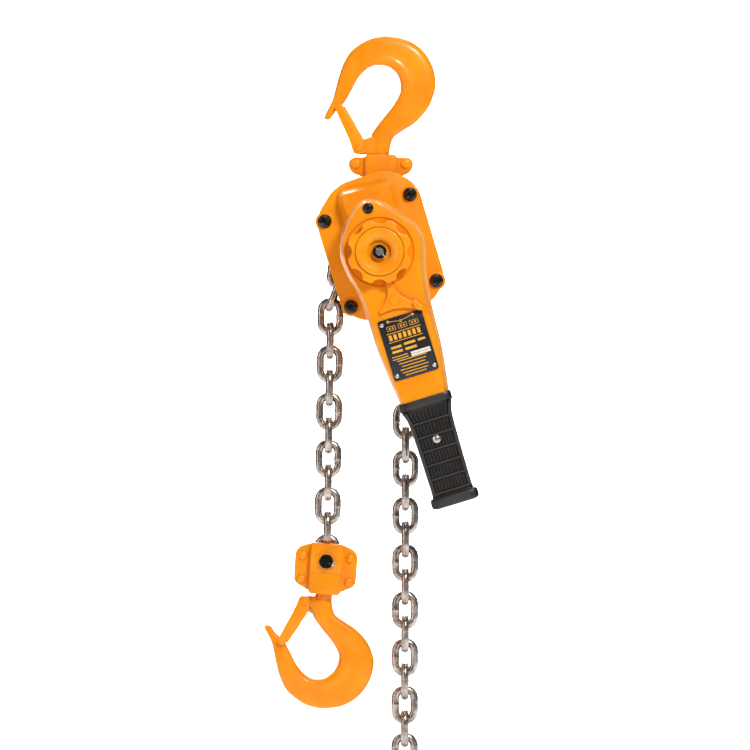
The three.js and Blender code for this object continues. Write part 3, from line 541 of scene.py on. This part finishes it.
def makeYokes():
    for side, end in ((-1, "front"), (1, "rear")):
        piece(f"top_yoke_{end}_forging", yokeHalf(side, topYoke), topYokeFrame,
              "top_yoke", forgedEnamel, [f"top_yoke_{end}"])
    for i, (x, z) in enumerate(topYoke["rivets"]):
        piece(f"top_yoke_dome_rivet_{i + 1}", domeRivet(x, z, topYoke["earDepth"], topYoke["rivetRadius"]),
              topYokeFrame, "top_yoke", enamel, [f"top_yoke_rivet_{i + 1}"])
    for side, end in ((-1, "front"), (1, "rear")):
        depth = bottomYoke["coreDepth"]
        lower = slabMesh([(-17.6, bottomYoke["crease"], 1), (17.6, bottomYoke["crease"], 1),
                          (16, -36.5, 3), (-16, -36.5, 3)], -depth - 0.9, -depth + 4, 1.6, 3, 3)
        brow = slabMesh(bottomYoke["brow"], -depth - 0.7, -depth + 3, 0.6, 6, 2)
        heads = [halfRivet(side, x, z, bottomYoke["earDepth"], bottomYoke["rivetRadius"])
                 for x, z in bottomYoke["rivets"]]
        half = joined(yokeHalf(side, bottomYoke), turnedAbout(lower, side), turnedAbout(brow, side), *heads)
        piece(f"bottom_yoke_{end}_forging", half, bottomFrame, "bottom_yoke", forgedEnamel,
              [f"bottom_yoke_{end}"])


def cutBy(mesh, *cutters):
    # cuts closed shapes out of a closed shape
    def asObject(shape):
        data = bpy.data.meshes.new("cutWork")
        shape.to_mesh(data)
        shape.free()
        holder = bpy.data.objects.new("cutWork", data)
        bpy.context.scene.collection.objects.link(holder)
        return holder

    target = asObject(mesh)
    tools = [asObject(cutter) for cutter in cutters]
    for tool in tools:
        step = target.modifiers.new("cut", "BOOLEAN")
        step.operation = "DIFFERENCE"
        step.solver = "EXACT"
        step.object = tool
    bpy.context.view_layer.update()
    result = bmesh.new()
    result.from_mesh(target.evaluated_get(bpy.context.evaluated_depsgraph_get()).to_mesh())
    for used in [target] + tools:
        bpy.data.objects.remove(used)
    return result


def castleNut(radius, y0, y1, bore):
    # a hexagon nut whose tower has six slots for the split pin
    split = y0 + (y1 - y0) * 0.42
    hexagon = [(*onCircle(radius, a * math.tau / 6), 0.6) for a in range(6)]
    base = slabMesh(hexagon, split, y1, 0.5, 2, 2)
    tower = radius * 0.93
    crown = turnedMesh([(bore, y0), (tower - 0.5, y0), (tower, y0 + 0.5),
                        (tower, split + 0.6), (bore, split + 0.6),
                        (bore, y0)], turns=36)
    slots = []
    for a in range(3):
        slot = slabMesh(oblong(-radius * 1.4, -1.25, radius * 1.4, 1.25), y0 - 1, y0 + (y1 - y0) * 0.32)
        slots.append(spun(slot, a * math.pi / 3))
    return joined(base, cutBy(crown, *slots))


def splitPin(radius, y, length, degrees):
    # a split pin's loop and its bent legs across a castle nut
    turn = Matrix.Rotation(math.radians(degrees), 3, "Y")
    loop = [(length + 1.8 * math.sin(a * math.tau / 12), y,
            1.6 - 1.6 * math.cos(a * math.tau / 12)) for a in range(12)]
    path = [(-length, y - 1.2, 0.5), (-length + 1.2, y, 0), (0, y, 0), (length - 0.6, y, 0)] + loop
    return wireMesh([tuple(turn @ Vector(point)) for point in path], radius)


def makeChainPin():
    depth = bottomYoke["coreDepth"]
    nutFace = -depth - 0.9
    seat = turnedMesh([(0, nutFace - 6.4), (3.9, nutFace - 6.4), (3.9, 3),
                       (3.9, depth + 0.3), (8, depth + 0.3),
                       (8, depth + 4), (7, depth + 5), (0, depth + 5.4)])
    piece("chain_pin_bolt", seat, bottomFrame, "bottom_yoke", blackSteel, ["chain_pin"])
    piece("chain_pin_castle_nut", castleNut(bottomYoke["nut"], nutFace - 6.0, nutFace, 4.0),
          bottomFrame, "bottom_yoke",
          blackSteel, ["chain_pin_nut"])
    piece("chain_pin_split_pin", splitPin(0.7, nutFace - 5.1, 8.4, 25),
          bottomFrame, "bottom_yoke", brightSteel)


makeYokes()
makeChainPin()
print("yokes made")


# the body: side plates, stays and covers
body = {
    "outline": [(-58, 58, 16), (-24.5, 86.5, 14), (36, 88, 14), (63, 62, 14),
                (62, -50, 12), (40, -70, 12), (-35, -70, 12), (-58, -51, 10)],
    "plateInner": 17.0, "plateOuter": 22.0, "flangeInner": 22.3, "flangeOuter": 24.5,
    "tower": [(-29.5, -10, 4), (-28.5, 80.5, 11), (36.5, 77.5, 11), (38.5, -10, 4)],
    "towerFront": -46.0, "towerDraft": 6.6, "towerRound": 1.5,
    "drum": [(-39, -27, 16), (-39, 27, 16), (-24, 49, 14), (24, 49, 14),
             (43, 30, 16), (43, -30, 16), (24, -49, 14), (-24, -49, 14)],
    "drumFront": -60.0, "drumRound": 4.0, "wall": 2.4,
    "gearDome": [(-38, 66, 26), (42, 66, 26), (42, -64, 26), (-38, -64, 26)],
    "gearFace": 62.0,
    "stays": [(-48, 51.5), (51.5, 52.5), (51.5, -48), (-48, -48)],
    "stayRadius": 7.0, "nutRadius": 7.7,
}


def drumMesh():
    front, back, wall = body["drumFront"], -body["flangeOuter"] + 0.5, body["wall"]
    inner = [(x * 0.944, z * 0.944, r) for x, z, r in body["drum"]]
    return cutBy(slabMesh(body["drum"], front, back, body["drumRound"], 8, 6),
                 slabMesh(inner, front + wall, back + 2, 2.0, 8, 3),
                 turnedMesh([(0, front - 2), (26, front - 2), (26, front + 5), (0, front + 5)], turns=64))


def makeBody():
    flange = slabMesh(body["outline"], -body["flangeOuter"], -body["flangeInner"], 1.0, 8, 3)
    tower = slabMesh(body["tower"], body["towerFront"], -body["flangeOuter"] + 0.4, body["towerRound"], 8, 5,
                     draft=body["towerDraft"])
    seats = [roundBar(10.5, -body["flangeInner"], -body["flangeOuter"] - 0.35, 0.8, x, z)
             for x, z in body["stays"]]
    piece("brake_cover_pressing", joined(flange, tower, drumMesh(), *seats),
          bodyFrame, "hoist_body", enamel, ["brake_cover"])
    rearFlange = slabMesh(body["outline"], body["flangeInner"], body["flangeOuter"], 1.0, 8, 3, rear=True)
    dome = slabMesh(body["gearDome"], body["flangeOuter"] - 0.4, body["gearFace"], 6.0, 8, 6, rear=True)
    piece("gear_cover_pressing", joined(rearFlange, dome), bodyFrame, "hoist_body", enamel,
          ["gear_cover"])
    for end, y0, y1 in (("front", -body["plateOuter"], -body["plateInner"]),
                             ("rear", body["plateInner"], body["plateOuter"])):
        piece(f"{end}_side_plate_blank", slabMesh(body["outline"], y0, y1, 0.5, 8, 2, True),
              bodyFrame, "hoist_body",
              enamel, [f"{end}_side_plate"])
    for i, (x, z) in enumerate(body["stays"]):
        shoulder, head, nut = body["plateInner"] - 0.3, body["flangeOuter"] + 0.3, body["nutRadius"]
        stay = softProfile([(0, -29.5), (4, -29.5), (4, -shoulder), (body["stayRadius"], -shoulder),
                            (body["stayRadius"], shoulder), (4, shoulder), (4, head), (nut, head),
                            (nut, head + 4.4), (4.6, head + 5.2), (4, head + 7.6), (0, head + 8.0)], 0.6)
        piece(f"stay_bolt_{i + 1}_turned", turnedMesh(stay, x, z),
              bodyFrame, "hoist_body", blackSteel, [f"stay_bolt_{i + 1}"])
        cap = softProfile([(0, -head), (nut, -head), (nut, -head - 1.9),
                          (6.4, -head - 2.6), (6.2, -head - 5.6),
                           (4.2, -head - 7.2), (3.4, -head - 6.6), (0, -head - 7.4)], 0.9, 4)
        piece(f"stay_nut_{i + 1}_domed", turnedMesh(cap, x, z), bodyFrame, "hoist_body", blackSteel,
              [f"stay_nut_{i + 1}"])


makeBody()
print("body made")


# the free-wheel knob, its nut and cap
knob = {
    "tip": 35.9, "valley": 30.6, "hollow": 10.5, "turned": 5.5, "skirt": -92.0, "lobes": 8,
    "front": -109.6, "rear": -97.5, "edge": 1.6,
    "capRadius": 26.6, "capFront": -112.6, "grooveWidth": 0.65, "cup": 12.2,
    "marks": [(-8, 21.5, 4.0), (72, 21.5, 4.0), (100, 22.0, 2.6),
              (196, 21.5, 4.0), (204, 22.0, 2.4), (288, 21.5, 4.0)],
}


def scallopedOutline():
    # a disc with eight round finger hollows, broad tips between them
    outline = []
    per = 20
    step = math.tau / (knob["lobes"] * per)
    middle = knob["valley"] + knob["hollow"]
    for i in range(knob["lobes"] * per):
        angle = math.radians(knob["turned"]) + i * step
        off = (i % per - per / 2) * step
        reach = knob["hollow"] ** 2 - (middle * math.sin(off)) ** 2
        radius = min(knob["tip"], middle * math.cos(off) - math.sqrt(reach)) if reach > 0 else knob["tip"]
        outline.append((*onCircle(radius, angle), 0))
    return outline


def makeKnob():
    rim = slabMesh(scallopedOutline(), knob["front"], knob["rear"], knob["edge"], 1, 4)
    groove = knob["capRadius"] + knob["grooveWidth"]
    rim = cutBy(rim, turnedMesh([(0, -125), (groove, -125), (groove, -103), (0, -103)], turns=96))
    skirt = turnedMesh([(16, -104), (29, -104), (29, knob["skirt"]),
                        (16, knob["skirt"]), (16, -104)], turns=64)
    front, cap, cup = knob["capFront"], knob["capRadius"], knob["cup"]
    dish = softProfile([(cap, -102), (cap, front + 0.6), (cap - 1.4, front),
                       (20.5, front + 0.3), (15.0, front + 3.4),
                        (cup, front + 5.6), (cup, -93.2), (6.6, -93.2),
                       (6.6, -87), (14, -87), (14, -98.6)], 0.9, 3)
    cap = turnedMesh(dish + [(cap, -102)], turns=96)
    marks = []
    for degrees, radius, length in knob["marks"]:
        mark = slabMesh(oblong(-0.45, radius - length / 2, 0.45, radius + length / 2, 0.3),
                        front - 0.25, front + 3, 0.2, 2, 2)
        marks.append(spun(mark, math.radians(degrees)))
    piece("free_wheel_knob_casting", joined(rim, skirt, cap, *marks), bodyFrame, "free_wheel_knob", enamel,
          ["free_wheel_knob"])
    piece("shaft_castle_nut", castleNut(8.2, -111.0, -103.4, 4.9), bodyFrame, "drive_shaft", blackSteel,
          ["shaft_nut"])
    piece("shaft_split_pin", splitPin(0.65, -110.2, 6.3, 62), bodyFrame, "drive_shaft", brightSteel)


makeKnob()
print("knob made")


lever = {
    "rear": -62.5, "split": -76.0, "front": -92.0, "end": -178.0,
    "draft": 4.8, "lean": -0.9, "edge": 1.2, "recess": 37.6, "recessDepth": 1.7,
    "plug": (1.8, 49.7), "plugRadius": 6.0, "selector": -55.9, "gripScrew": -215.6,
}


def leverOutline():
    end = lever["end"]
    return [(-10, 58.5, 9), (5, 62, 9), (17, 55.5, 9), (36, 34, 16), (51, 14, 15),
            (51.5, -8, 18), (43.5, -31, 16), (39, -60, 16), (36.5, -112, 14),
            (35, -128, 10), (27.5, end, 1), (-26.6, end, 1), (-32.6, -126, 10),
            (-35, -100, 14), (-34.5, -60, 16), (-36.5, -36, 16), (-43, -10, 18),
            (-43, 16, 18), (-29, 40, 16)]


def makeLever():
    front, split = lever["front"], lever["split"]
    shell = slabMesh(leverOutline(), front, split - 0.3, lever["edge"], 10, 4, draft=lever["draft"],
                     lean=lever["lean"])
    recess = turnedMesh(softProfile([(0, front - 3),
                                    (lever["recess"] + 2.4, front - 3), (lever["recess"] + 1.0, front),
                                     (lever["recess"] - 0.6, front + lever["recessDepth"]),
                                     (0, front + lever["recessDepth"])], 0.8, 3), turns=96)
    well = turnedMesh([(0, front - 5), (24.5, front - 5), (24.5, front + 9), (0, front + 9)], turns=64)
    shell = cutBy(shell, recess, well)
    piece("lever_front_pressing", shell, bodyFrame, "lever", enamel, ["lever_front_shell"], 30)
    rear = slabMesh(leverOutline(), split, lever["rear"], 3.0, 10, 4, rear=True)
    tongue = slabMesh([(-14, -285, 3), (14, -285, 3), (14, -160, 0), (-14, -160, 0)],
                      split, -66, 1.0, 3, 2, True)
    piece("lever_rear_pressing", joined(rear, tongue), bodyFrame, "lever", enamel,
          ["lever_rear_shell"], 30)
    x, z = lever["plug"]
    r = lever["plugRadius"]
    cap = softProfile([(0, front - 3.6), (r * 0.62, front - 3.3), (r, front - 1.6),
                      (r, front - 0.1), (4, front - 0.1),
                       (4, front + 3.4), (0, front + 3.4)], 0.7, 3)
    piece("lever_cap_plug", turnedMesh(cap, x, z), bodyFrame, "lever", plugPlastic, ["lever_plug"])


makeLever()

selector = {
    "outline": [(-3.6, -34.5, 1), (3.6, -34.5, 1), (4.6, -47, 6), (11, -56, 8),
                (29.5, -71.5, 2.5), (27, -76.5, 2.5), (9, -66.5, 8), (-8, -64.5, 8),
                (-19, -66.5, 2.0), (-20, -62.5, 2.0), (-8.5, -53.5, 8), (-4.6, -46, 6)],
    "tab": [(17.5, -63.5, 2), (21, -60.5, 2), (29.5, -71.5, 2), (27, -76.5, 2), (20, -72, 2)],
    "front": -97.2, "rear": -94.4, "boss": 5.4,
}


def makeSelector():
    arm = slabMesh(selector["outline"], selector["front"], selector["rear"], 1.1, 6, 3)
    tab = slabMesh(selector["tab"], selector["front"] - 4.2, selector["rear"], 1.4, 4, 3)
    stem = turnedMesh(softProfile([(0, selector["front"] - 1.3), (selector["boss"], selector["front"] - 1.3),
                                   (selector["boss"], -92.3), (3.9, -92.3), (3.9, -72), (0, -72)], 0.8),
                      0, lever["selector"])
    piece("selector_lever_casting", joined(arm, tab, stem), bodyFrame, "selector", forgedEnamel,
          ["selector_lever"])


makeSelector()
print("lever made")


# the name plate: three dots on a line, three boxes and ruled lines stand in place of words
plate = {
    "left": -25.5, "right": 25.5, "top": -73.4, "bottom": -142.2,
    "face": -93.5, "back": -92.3, "inkDepth": 0.18,
    "rivets": [(-21.5, -78.5), (-21.5, -136.8), (21.5, -136.8)],
    "dots": [(-14, -76.8), (0, -79.2), (14.5, -76.2)],
    "boxes": [(-12.5, -84.6), (0.5, -84.6), (13.5, -84.6)],
    "bands": [(-19.5, 19.5, -89.6, -90.4), (-19.5, 19.5, -99.4, -100.2), (-19, -7, -104.6, -107.2),
              (-19, -7, -109.6, -112.2), (-4, 9, -103.6, -106.4),
              (-4, 9, -109.4, -112.2), (12, 20.5, -103.6, -106.2)],
    "word": [(-18, -14.5), (-12.6, -9.1), (-7.2, -3.7), (-1.8, 1.7), (3.6, 7.1), (9, 12.5), (14.4, 17.9)],
    "rules": [-121.5, -125.0, -128.5, -132.0, -135.5, -138.6],
    "field": (0.5, 22.5, -115.4, -120.6),
}


def strip(x0, x1, z1, z0, round_=0.3):
    return slabMesh([(x0, z0, round_), (x1, z0, round_), (x1, z1, round_), (x0, z1, round_)],
                    plate["face"] - plate["inkDepth"], plate["face"] + 0.3, 0.05, 2, 1)


def makePlate():
    sheet = slabMesh([(plate["left"], plate["bottom"], 3), (plate["right"], plate["bottom"], 3),
                      (plate["right"], plate["top"], 3), (plate["left"], plate["top"], 3)],
                     plate["face"], plate["back"], 0.3, 6, 2)
    piece("name_plate_sheet", sheet, bodyFrame, "lever", plateField, ["name_plate"])
    gold = []
    ink, face = plate["inkDepth"], plate["face"]
    for x, z in plate["dots"]:
        gold.append(turnedMesh(
                [(0, face - ink), (1.5, face - ink), (1.5, face + 0.3), (0, face + 0.3)], x, z, 24))
    for (x0, z0), (x1, z1) in zip(plate["dots"], plate["dots"][1:]):
        gold.append(slabMesh([(x0, z0 - 0.3, 0), (x1, z1 - 0.3, 0), (x1, z1 + 0.3, 0), (x0, z0 + 0.3, 0)],
                             face - ink, face + 0.3))
    for x, z in plate["boxes"]:
        for x0, x1, z1, z0 in ((x - 5, x + 5, z + 2.6, z + 2.1), (x - 5, x + 5, z - 2.1, z - 2.6),
                               (x - 5, x - 4.5, z + 2.1, z - 2.1), (x + 4.5, x + 5, z + 2.1, z - 2.1),
                               (x - 2.6, x - 0.8, z + 1, z - 1), (x + 0.8, x + 2.6, z + 1, z - 1)):
            gold.append(strip(x0, x1, z1, z0, 0.1))
    for band in plate["bands"]:
        gold.append(strip(*band))
    for x0, x1 in plate["word"]:
        gold.append(strip(x0, x1, -91.8, -98.0, 0.6))
    for i, z in enumerate(plate["rules"]):
        indent = (0.0, 1.6, 3.4, 0.8, 2.4, 5.0)[i]
        gold.append(strip(-17 + indent, 17 - indent, z + 0.5, z - 0.5, 0.2))
    for z in (-116.2, -119.0):
        gold.append(strip(-21, -3, z + 0.5, z - 0.5, 0.2))
    piece("name_plate_gold_print", joined(*gold), bodyFrame, "lever", goldInk)
    x0, x1, z1, z0 = plate["field"]
    middle = (z0 + z1) / 2
    panels = [strip(x0, x1, z1, middle + 0.2, 0.2), strip(x0, x1, middle - 0.2, z0, 0.2)]
    piece("name_plate_white_print", joined(*panels), bodyFrame, "lever", whiteInk)
    heads = [turnedMesh([(0, face - 1.4), (1.2, face - 1.3), (2.2, face - 0.8),
                        (2.7, face - 0.05), (2.7, face + 0.4),
                         (0, face + 0.4)], x, z, 28) for x, z in plate["rivets"]]
    piece("name_plate_rivets", joined(*heads), bodyFrame, "lever", brightSteel)


makePlate()
print("name plate made")


grip = {
    # height on the lever, half width, front and rear depth of the moulding
    "stations": [(-168.4, 29.6, 15.6), (-169.0, 30.3, 16.6), (-176.0, 30.3, 16.7), (-179.0, 28.9, 14.6),
                 (-186.5, 26.2, 14.1), (-198.0, 24.6, 14.1), (-225.0, 23.8, 14.1), (-250.0, 23.4, 14.1),
                 (-275.5, 23.3, 14.1), (-278.2, 25.2, 15.3), (-280.6, 27.0, 16.7), (-287.0, 27.2, 16.75),
                 (-289.8, 25.6, 15.6), (-291.0, 21.5, 12.0)],
    "middle": -77.25, "squareness": 6.0, "ringPoints": 48,
    "bands": 6, "bandTop": -179.5, "bandBottom": -275.5, "ribs": 10, "ribHeight": 2.2,
    "crossBar": 3.0, "panel": 14.1,
    "screw": 5.2,
}


def gripHalfWidth(z):
    rows = grip["stations"]
    for (z0, w0, _), (z1, w1, _) in zip(rows, rows[1:]):
        if z <= z0 and z >= z1:
            return w0 + (w1 - w0) * (z0 - z) / (z0 - z1)
    return rows[0][1]


def makeGrip():
    bm = bmesh.new()
    rings = []
    for z, half, depth in smoothRun([list(s) for s in grip["stations"]], 3):
        ring = bmesh.ops.create_circle(bm, segments=grip["ringPoints"], radius=1.0)["verts"]
        for vert in ring:
            c, s = vert.co.x, vert.co.y
            power = 2 / grip["squareness"]
            vert.co = (math.copysign(abs(c) ** power, c) * half,
                      grip["middle"] + math.copysign(abs(s) ** power, s) * depth, z)
        rings.append(ring)
    lofted(bm, rings)
    parts = [bm]
    pitch = (grip["bandTop"] - grip["bandBottom"]) / grip["bands"]
    for side in (-1, 1):
        skin = grip["panel"]
        y0, y1 = -skin - grip["ribHeight"], -skin + 1.5
        for band in range(grip["bands"]):
            top = grip["bandTop"] - band * pitch
            low = top - pitch + grip["crossBar"]
            half = min(gripHalfWidth(top), gripHalfWidth(low)) - 1.6
            wide = max(gripHalfWidth(low - grip["crossBar"] / 2) - 1.0, 10)
            stripWidth = half * 0.14
            step = 2 * (half - stripWidth) / (grip["ribs"] + 0.4)
            for rib in range(grip["ribs"]):
                x = -half + stripWidth + step * (rib + 0.7)
                lean = (gripHalfWidth(top) - gripHalfWidth(low)) * x / half
                ribCorners = [(x - step * 0.26, low + 0.9, 0.9), (x + step * 0.26, low + 0.9, 0.9),
                              (x + lean + step * 0.26, top - 0.9, 0.9),
                              (x + lean - step * 0.26, top - 0.9, 0.9)]
                parts.append(gripPart(slabMesh(ribCorners, y0, y1, 0.7, 3, 2), side))
            bar = oblong(-wide, low - grip["crossBar"] + 0.5, wide, low - 0.5, 0.8)
            parts.append(gripPart(slabMesh(bar, y0 - 0.7, y1, 0.6, 3, 2), side))
            for edge in (-1, 1):
                outer, inner = (half + 0.4) * edge, (half - stripWidth) * edge
                lean = (gripHalfWidth(top) - gripHalfWidth(low)) * edge
                side_ = [(inner, low, 0.5), (outer, low, 0.5), (outer + lean, top, 0.5),
                         (inner + lean, top, 0.5)]
                parts.append(gripPart(slabMesh(side_, y0 - 0.5, y1, 0.6, 3, 2), side))
    piece("grip_moulding", joined(*parts), bodyFrame, "lever", rubber, ["grip"], 45)
    r = grip["screw"]
    face = grip["middle"] - 16.7
    head = softProfile([(0, face - 3.0), (r * 0.5, face - 2.7), (r * 0.86, face - 1.6),
                        (r, face - 0.1), (3, face + 0.2),
                        (3, -66), (0, -66)], 0.4)
    piece("grip_dome_screw", turnedMesh(head, 0, lever["gripScrew"]), bodyFrame, "lever", brightSteel,
          ["grip_screw"])


def gripPart(mesh, side):
    turnedAbout(mesh, side)
    bmesh.ops.translate(mesh, verts=mesh.verts, vec=(0, grip["middle"], 0))
    return mesh


makeGrip()
print("grip made")


chain = {
    "wire": 4.4, "bend": 10.55, "pitch": 26.4, "ringPoints": 14, "bendRings": 9, "seam": 0.35,
    "firstContact": 188.7, "pockets": 5,
    "loadStart": [(-41.85, -6.4), (-45.2, -32.7)], "loadTop": (-54.6, -57.5), "loadEnd": (-58.7, -347.9),
    "loadLinks": 11, "loadSplit": 6,
    "slackStart": [(44.8, 7.1), (41.0, -19.1)], "slackTop": (29.8, -42.0), "slackDrift": -0.09,
    "slackLinks": 21, "slackSplit": 12,
    "ringRadius": 19.0, "ringTube": 4.0,
}


def closedLoop(path, radii, count):
    # a round bar along a closed path in the XZ plane
    bm = bmesh.new()
    rings = []
    for i, (x, z) in enumerate(path):
        nextX, nextZ = path[(i + 1) % len(path)]
        lastX, lastZ = path[i - 1]
        along = Vector((nextX - lastX, 0, nextZ - lastZ))
        rings.append(barRing(bm, (x, 0, z), along, radii[i], count))
    lofted(bm, rings + [rings[0]], False)
    return bm


def linkMesh(top, end, yaw):
    # one bent and butt-welded link from contact to contact, turned by yaw about its length
    top, end = Vector((top[0], 0, top[1])), Vector((end[0], 0, end[1]))
    straight = (top - end).length / 2 + chain["wire"] - chain["bend"]
    bends = chain["bendRings"]
    path = []
    for half in (0, 1):
        middle = straight if half == 0 else -straight
        for n in range(bends):
            angle = math.pi * (n / (bends - 1) + half)
            path.append((chain["bend"] * math.cos(angle), middle + chain["bend"] * math.sin(angle)))
        if half == 0:
            path += [(-chain["bend"], straight * t) for t in (0.5, 0.0, -0.5)]
    weldAt = len(path)
    path += [(chain["bend"], -straight * t) for t in (0.4, 0.12, 0.0, -0.12, -0.4)]
    radii = [chain["wire"]] * len(path)
    for n, swell in ((1, 0.6), (2, 1.0), (3, 0.6)):
        radii[weldAt + n] += chain["seam"] * swell
    bm = closedLoop(path, radii, chain["ringPoints"])
    turn = Matrix.Rotation(yaw, 4, "Z")
    swing = Vector((0, 0, 1)).rotation_difference(top - end).to_matrix().to_4x4()
    bmesh.ops.transform(bm, matrix=Matrix.Translation((top + end) / 2) @ swing @ turn, verts=bm.verts)
    return bm


def makeRun(name, contacts, first, yaw, body_, node):
    links = [linkMesh(contacts[i], contacts[i + 1], yaw(first + i)) for i in range(len(contacts) - 1)]
    piece(name, joined(*links), uprightFrame, body_, chainSteel, [node], 60)


def makeChain():
    quarter = math.pi / 2
    turnPerLink = 360 / (2 * chain["pockets"])
    reach = chain["pitch"] / 2 / math.sin(math.radians(turnPerLink / 2))
    wrapped = [onCircle(reach, math.radians(chain["firstContact"] - i * turnPerLink)) for i in range(6)]
    makeRun("sheave_chain_links", wrapped, 0, lambda i: 0 if i % 2 else quarter,
            "load_sheave", "sheave_chain")
    (x0, z0), (x1, z1) = chain["loadTop"], chain["loadEnd"]
    load = chain["loadStart"] + [(x0 + (x1 - x0) * i / chain["loadLinks"],
                                 z0 + (z1 - z0) * i / chain["loadLinks"])
                                 for i in range(chain["loadLinks"] + 1)]
    alternate = lambda i: quarter if i % 2 else 0
    split = chain["loadSplit"]
    makeRun("load_chain_upper_links", load[:split + 1], 0, alternate, "load_strand", "load_chain_upper")
    makeRun("load_chain_lower_links", load[split:], split, alternate, "load_strand_lower", "load_chain_lower")
    x, z = chain["slackTop"]
    slack = chain["slackStart"] + [(x + chain["slackDrift"] * i, z - i * chain["pitch"])
                                   for i in range(chain["slackLinks"] + 1)]
    twist = lambda i: alternate(i) + min(max(i - 1, 0), 4) * math.pi / 8
    split = chain["slackSplit"]
    makeRun("slack_chain_upper_links", slack[:split + 1], 0, twist, "slack_strand", "slack_chain_upper")
    makeRun("slack_chain_lower_links", slack[split:], split, twist, "slack_strand_lower", "slack_chain_lower")
    r, tube = chain["ringRadius"], chain["ringTube"]
    circle = [onCircle(r, a * math.tau / 48) for a in range(48)]
    ring = closedLoop(circle, [tube - 0.1] * 48, 16)
    endX, endZ = slack[-1]
    bmesh.ops.translate(ring, verts=ring.verts, vec=(endX, 0, endZ - r + tube + 0.3))
    piece("chain_end_ring_bent", ring, uprightFrame, "chain_end_ring", chainSteel, ["chain_end_ring"], 60)


makeChain()
print("chain made")


# These pieces keep the frame's own shape: only their finish changes.
kept = {
    "chain_guide": brightSteel, "suspension_pin": brightSteel,
    "bearing_front": brightSteel, "bearing_rear": brightSteel,
    "load_sheave": chainSteel, "load_gear": brightSteel, "intermediate_gear_1": brightSteel,
    "intermediate_gear_2": brightSteel, "drive_shaft": brightSteel, "ratchet_disc": brightSteel,
    "disc_hub": blackSteel, "pawl_1": blackSteel, "pawl_2": blackSteel, "change_gear": blackSteel,
    "change_pawl": blackSteel, "friction_disc_inner": lining, "friction_disc_outer": lining,
}
for node, finish in kept.items():
    nodes[node].data.materials.clear()
    nodes[node].data.materials.append(finish)
print("kept pieces finished")


# floor, light and camera
studio = {
    "floorDrop": 0.02,  # below the lowest point
    "field": 0.838,  # width of the view at the chain's plane
    "aim": (-0.005, 0.0, -0.3458),
    "lens": 300,
    "sensor": 36,
}


def sweepBackdrop():
    # a pale floor that curves up behind into a wall
    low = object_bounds()[0].z - studio["floorDrop"]
    bm = bmesh.new()
    depth, rise, bend, halfWidth = 11.0, 7.0, 1.5, 11.0
    line = [(-11.0, low), (depth - bend, low)]
    line += [(depth - bend + bend * math.sin(a * math.pi / 24),
              low + bend - bend * math.cos(a * math.pi / 24))
             for a in range(1, 12)]
    line += [(depth, low + bend), (depth, low + rise)]
    verts = [bm.verts.new((-halfWidth, y, z)) for y, z in line]
    edges = [bm.edges.new(pair) for pair in zip(verts, verts[1:])]
    grown = bmesh.ops.extrude_edge_only(bm, edges=edges)
    for vert in (g for g in grown["geom"] if isinstance(g, bmesh.types.BMVert)):
        vert.co.x = halfWidth
    data = bpy.data.meshes.new("paperSweep")
    bm.to_mesh(data)
    bm.free()
    data.shade_smooth()
    paper = newFinish("matWhitePaper", {"Roughness": 0.9}, (300, 2), [(0.3, "#F4F4F3"), (0.7, "#F8F8F7")])
    data.materials.append(paper)
    sweep = bpy.data.objects.new("paperSweep", data)
    bpy.context.scene.collection.objects.link(sweep)


def softLight(name, place, aim, size, watts, tint="#FFFFFF"):
    lamp = bpy.data.lights.new(name, "AREA")
    lamp.shape = "RECTANGLE"
    lamp.size, lamp.size_y = size
    lamp.energy = watts
    lamp.color = colour(tint)[:3]
    stand = bpy.data.objects.new(name, lamp)
    bpy.context.scene.collection.objects.link(stand)
    stand.location = place
    stand.rotation_euler = (Vector(aim) - Vector(place)).to_track_quat("-Z", "Y").to_euler()


sweepBackdrop()
aim = Vector(studio["aim"])
softLight("keyLight", (0.9, -2.3, 1.2), aim, (0.5, 0.5), 52, "#FFF6E2")
softLight("fillLight", (-2.0, -1.6, 0.1), aim, (0.35, 1.8), 11, "#FFE9DC")
softLight("topLight", (0.2, -0.1, 1.4), aim, (1.0, 0.6), 7)
softLight("backLight", (-0.9, 1.0, 0.5), aim, (1.0, 1.2), 3)
softLight("paperLight", (0.0, 8.2, 2.4), (0, 11.0, -0.3), (4.0, 0.8), 560)
softLight("floorLight", (0.0, 4.8, 3.0), (0, 4.9, -1.0), (3.0, 6.0), 480)

world = bpy.data.worlds.new("studioAir")
bpy.context.scene.world = world
world.use_nodes = True
world.node_tree.nodes["Background"].inputs["Color"].default_value = colour("#FFFFFF")
world.node_tree.nodes["Background"].inputs["Strength"].default_value = 0.15
bpy.context.scene.view_settings.view_transform = "Standard"

lens = bpy.data.cameras.new("studioCamera")
lens.lens = studio["lens"]
lens.sensor_width = studio["sensor"]
camera = bpy.data.objects.new("studioCamera", lens)
bpy.context.scene.collection.objects.link(camera)
standOff = studio["field"] * studio["lens"] / studio["sensor"]
camera.location = aim + Vector((0, -standOff, 0))
camera.rotation_euler = (math.radians(90), 0, 0)
lens.clip_end = 50
bpy.context.scene.camera = camera
print("studio set")
